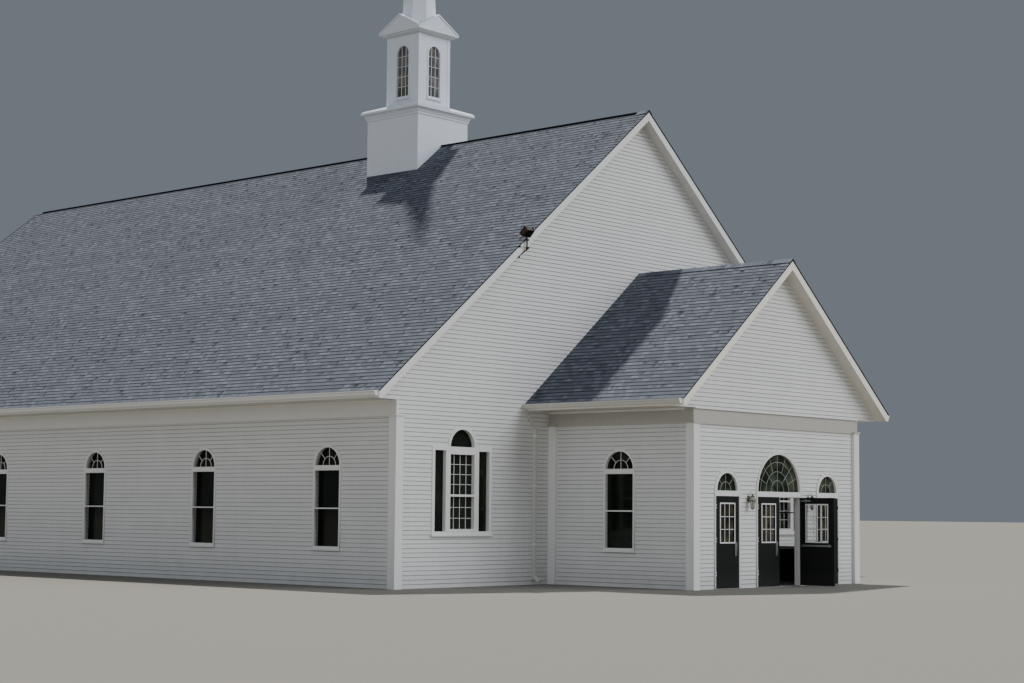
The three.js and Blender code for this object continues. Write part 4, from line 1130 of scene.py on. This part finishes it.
# The floodlight at the left barge board, with its photocell and cable
flood = Sizes(foot=(-4.70, 4.30, 7.882), end=(-4.815, 3.87, 8.032), arm=0.018,
    plate=(-4.74, -4.66, 4.29), plateHeights=(7.84, 7.928), stem=(-4.825, 3.93), stemHeights=(8.02, 8.24),
    pipe=0.02, joint=0.028, jointHeights=(8.0, 8.045), neck=0.016, neckHeights=(8.21, 8.33), cell=8.228,
    box=(-5.048, -5.008, 3.952), boxHeights=(8.03, 8.07), cable=0.005, at=(-4.88, 3.88, 8.41), tilt=45,
    width=0.28, depth=0.15, height=0.22, rim=0.016, rimDepth=0.03, fins=9, finHalf=0.003, cheek=0.005)


def floodArm():  # from the wall to the lamp head, in the building's frame
    f = flood
    x, y = f.stem
    cable = [(-5.01, 3.965, 8.045), (-4.96, 3.955, 8.035), (-4.90, 3.945, 8.036), (x - 0.01, y, 8.05)]
    parts = [tubeMesh([f.foot, f.end], f.arm, 3),
        tubeMesh([(x, y, z) for z in f.stemHeights], f.pipe, 3),
        tubeMesh(cable, f.cable),
        blockMesh(*f.plate, nave.front + board - seam, *f.plateHeights, 0.006),
        blockMesh(*f.box, frontEdge - seam, *f.boxHeights, 0.005)]
    for half, heights, bevel in ((f.joint, f.jointHeights, 0.006), (f.neck, f.neckHeights, 0.004)):
        parts.append(blockMesh(x - half, x + half, y - half, y + half, *heights, bevel))
    for ends, radius, resolution in (((-0.03, 0.052), 0.026, 3), ((0.05, 0.064), 0.014, 1)):
        parts.append(tubeMesh([(x + way, y, f.cell) for way in ends], radius, resolution))
    return parts


def floodHead(w, d, h):  # in its own frame, half its width, depth and height: lens towards -y, fins behind
    f = flood
    rim = [rectangle(-w + edge, w - edge, -h + edge, h - edge) for edge in (0, f.rim)]
    parts = [placed(flatPlate(rim, 0.0, f.rimDepth, 0.004), moved(0, f.rimDepth - d, 0), turn(90, "X")),
        blockMesh(-w + 0.008, w - 0.008, -d + 0.018, d - 0.03, -h + 0.008, h - 0.008, 0.012)]
    for i in range(f.fins):
        x = -w + 0.03 + (2 * w - 0.06) * i / (f.fins - 1)
        parts.append(blockMesh(x - f.finHalf, x + f.finHalf, d - 0.04, d, -h + 0.02, h - 0.02, 0.001))
    for x in (-w, w):
        parts.append(blockMesh(x - f.cheek, x + f.cheek, -d + 0.02, d - 0.01, -h - 0.004, h + 0.012, 0.002))
    return mergedMesh(parts)


def addFloodlight():
    w, d, h = flood.width / 2, flood.depth / 2, flood.height / 2
    pose = moved(*flood.at) @ turn(flood.tilt, "X")
    whole = mergedMesh([*floodArm(), placed(floodHead(w, d, h), pose)])
    addPiece("floodlightHead", whole, "bronze", stands=("floodlight",))
    lens = blockMesh(-w + 0.014, w - 0.014, -d + 0.008, -d + 0.014, -h + 0.014, h - 0.014)
    addPiece("floodlightLens", lens, "window_glass", pose)


addFloodlight()
print("lamps up")


# Gutter ends, downspout straps and the small mouldings of the porch
trough = Sizes(width=0.125, height=0.11, drop=0.018, sheet=0.003, inset=0.04, wallGap=0.03)
spout = Sizes(x=4.06, half=0.04, depth=0.062, straps=(0.95, 2.35, 3.55), height=0.032, sheet=0.003, ears=0.03)
mould = Sizes(out=0.045, lap=0.001, proud=0.03, height=0.05, start=0.2, gap=0.0005, gableHalf=3.5,
    gableFront=0.014, gableBack=-0.046, gableHeight=0.022)
# the ends of the gutters, and whether each looks forwards or backwards
troughEnds = ((porch, porch.rake + trough.inset, "front"), (porch, nave.front - trough.wallGap, "rear"),
    (nave, frontEdge + trough.inset, "front"), (nave, rearEdge - trough.inset, "rear"))


def troughEnd(block, sign, y, facing):
    g = trough
    back = block.roofHalf + block.hang
    top = block.ridge - slope * block.roofHalf - g.drop
    # shares of the width and of the height, from the top at the wall
    section = ((0, 0), (0, 1), (0.62, 1), (0.78, 0.7), (0.9, 0.38), (1, 0.28), (1, 0))
    loop = [(sign * (back + across * g.width), top - down * g.height) for across, down in section]
    depth = (0.0, g.sheet) if facing == "front" else (-g.sheet, 0.0)
    return placed(flatPlate([loop], *depth), stand("front", (0, y, 0)))


def strapMeshes(x, z):
    s = spout
    front, wall = nave.front - s.depth - s.sheet, nave.front - 0.002
    hoop, ears, top = s.half + s.sheet, s.half + s.ears, z + s.height
    return [blockMesh(x - hoop, x + hoop, front, wall, z, top, 0.001),
        blockMesh(x - ears, x + ears, nave.front - 0.008, nave.front + 0.008, z, top, 0.001)]


def addSmallTrim():
    meshes = []
    for sign in sides.values():
        meshes += [troughEnd(block, sign, y, facing) for block, y, facing in troughEnds]
        for z in spout.straps:
            meshes += strapMeshes(sign * spout.x, z)
    addPiece("gutterEndsAndStraps", mergedMesh(meshes), "trim")
    meshes = []
    m = mould
    soffit, top, edge = porch.soffit, porch.soffit - m.gap, porch.half + m.out
    for sign in sides.values():
        xs = sorted((sign * (edge - m.lap), sign * (edge + m.proud)))
        meshes.append(blockMesh(*xs, m.start, nave.front - 0.002, soffit - m.height, top, 0.004))
    meshes.append(blockMesh(-m.gableHalf, m.gableHalf, porch.gableFace - m.gableFront, m.gableBack,
        soffit - m.gableHeight, top, 0.003))
    addPiece("porchMouldings", mergedMesh(meshes), "trim")


addSmallTrim()


# Surroundings and light

def addStage():
    mesh = bpy.data.meshes.new("groundPlane")
    corners = [(x, y, -0.001) for x, y in rectangle(-400, 400, -400, 400)]
    mesh.from_pydata(corners, [], [(0, 1, 2, 3)])
    mesh.materials.append(Finish("paleFloor", (0.195, 0.185, 0.160), 0.95).material)
    ground = bpy.data.objects.new("groundPlane", mesh)
    bpy.context.collection.objects.link(ground)


# Direction towards each lamp, its strength, how soft it is in degrees and its colour
lamps = {"key": ((0.280, 0.291, 0.915), 4.9, 2.0, (1.0, 0.97, 0.93)),
    "fill": ((0.40, -0.73, 0.55), 1.95, 50.0, (0.95, 0.97, 1.0)),
    "side": ((-0.88, -0.30, 0.36), 0.48, 50.0, (0.95, 0.97, 1.0))}
sky = Sizes(colour=(0.76, 0.86, 1.0, 1.0), strength=0.21)


def addLights():
    for name, (way, energy, softness, colour) in lamps.items():
        sun = bpy.data.lights.new(name, "SUN")
        sun.energy = energy
        sun.angle = math.radians(softness)
        sun.color = colour
        lamp = bpy.data.objects.new(name, sun)
        lamp.rotation_euler = Vector(way).to_track_quat("Z", "Y").to_euler()
        bpy.context.collection.objects.link(lamp)
    world = bpy.data.worlds.new("studio")
    world.use_nodes = True
    bpy.context.scene.world = world
    backdrop = world.node_tree.nodes["Background"]
    backdrop.inputs["Color"].default_value = sky.colour
    backdrop.inputs["Strength"].default_value = sky.strength


addStage()
addLights()
print("stage set")
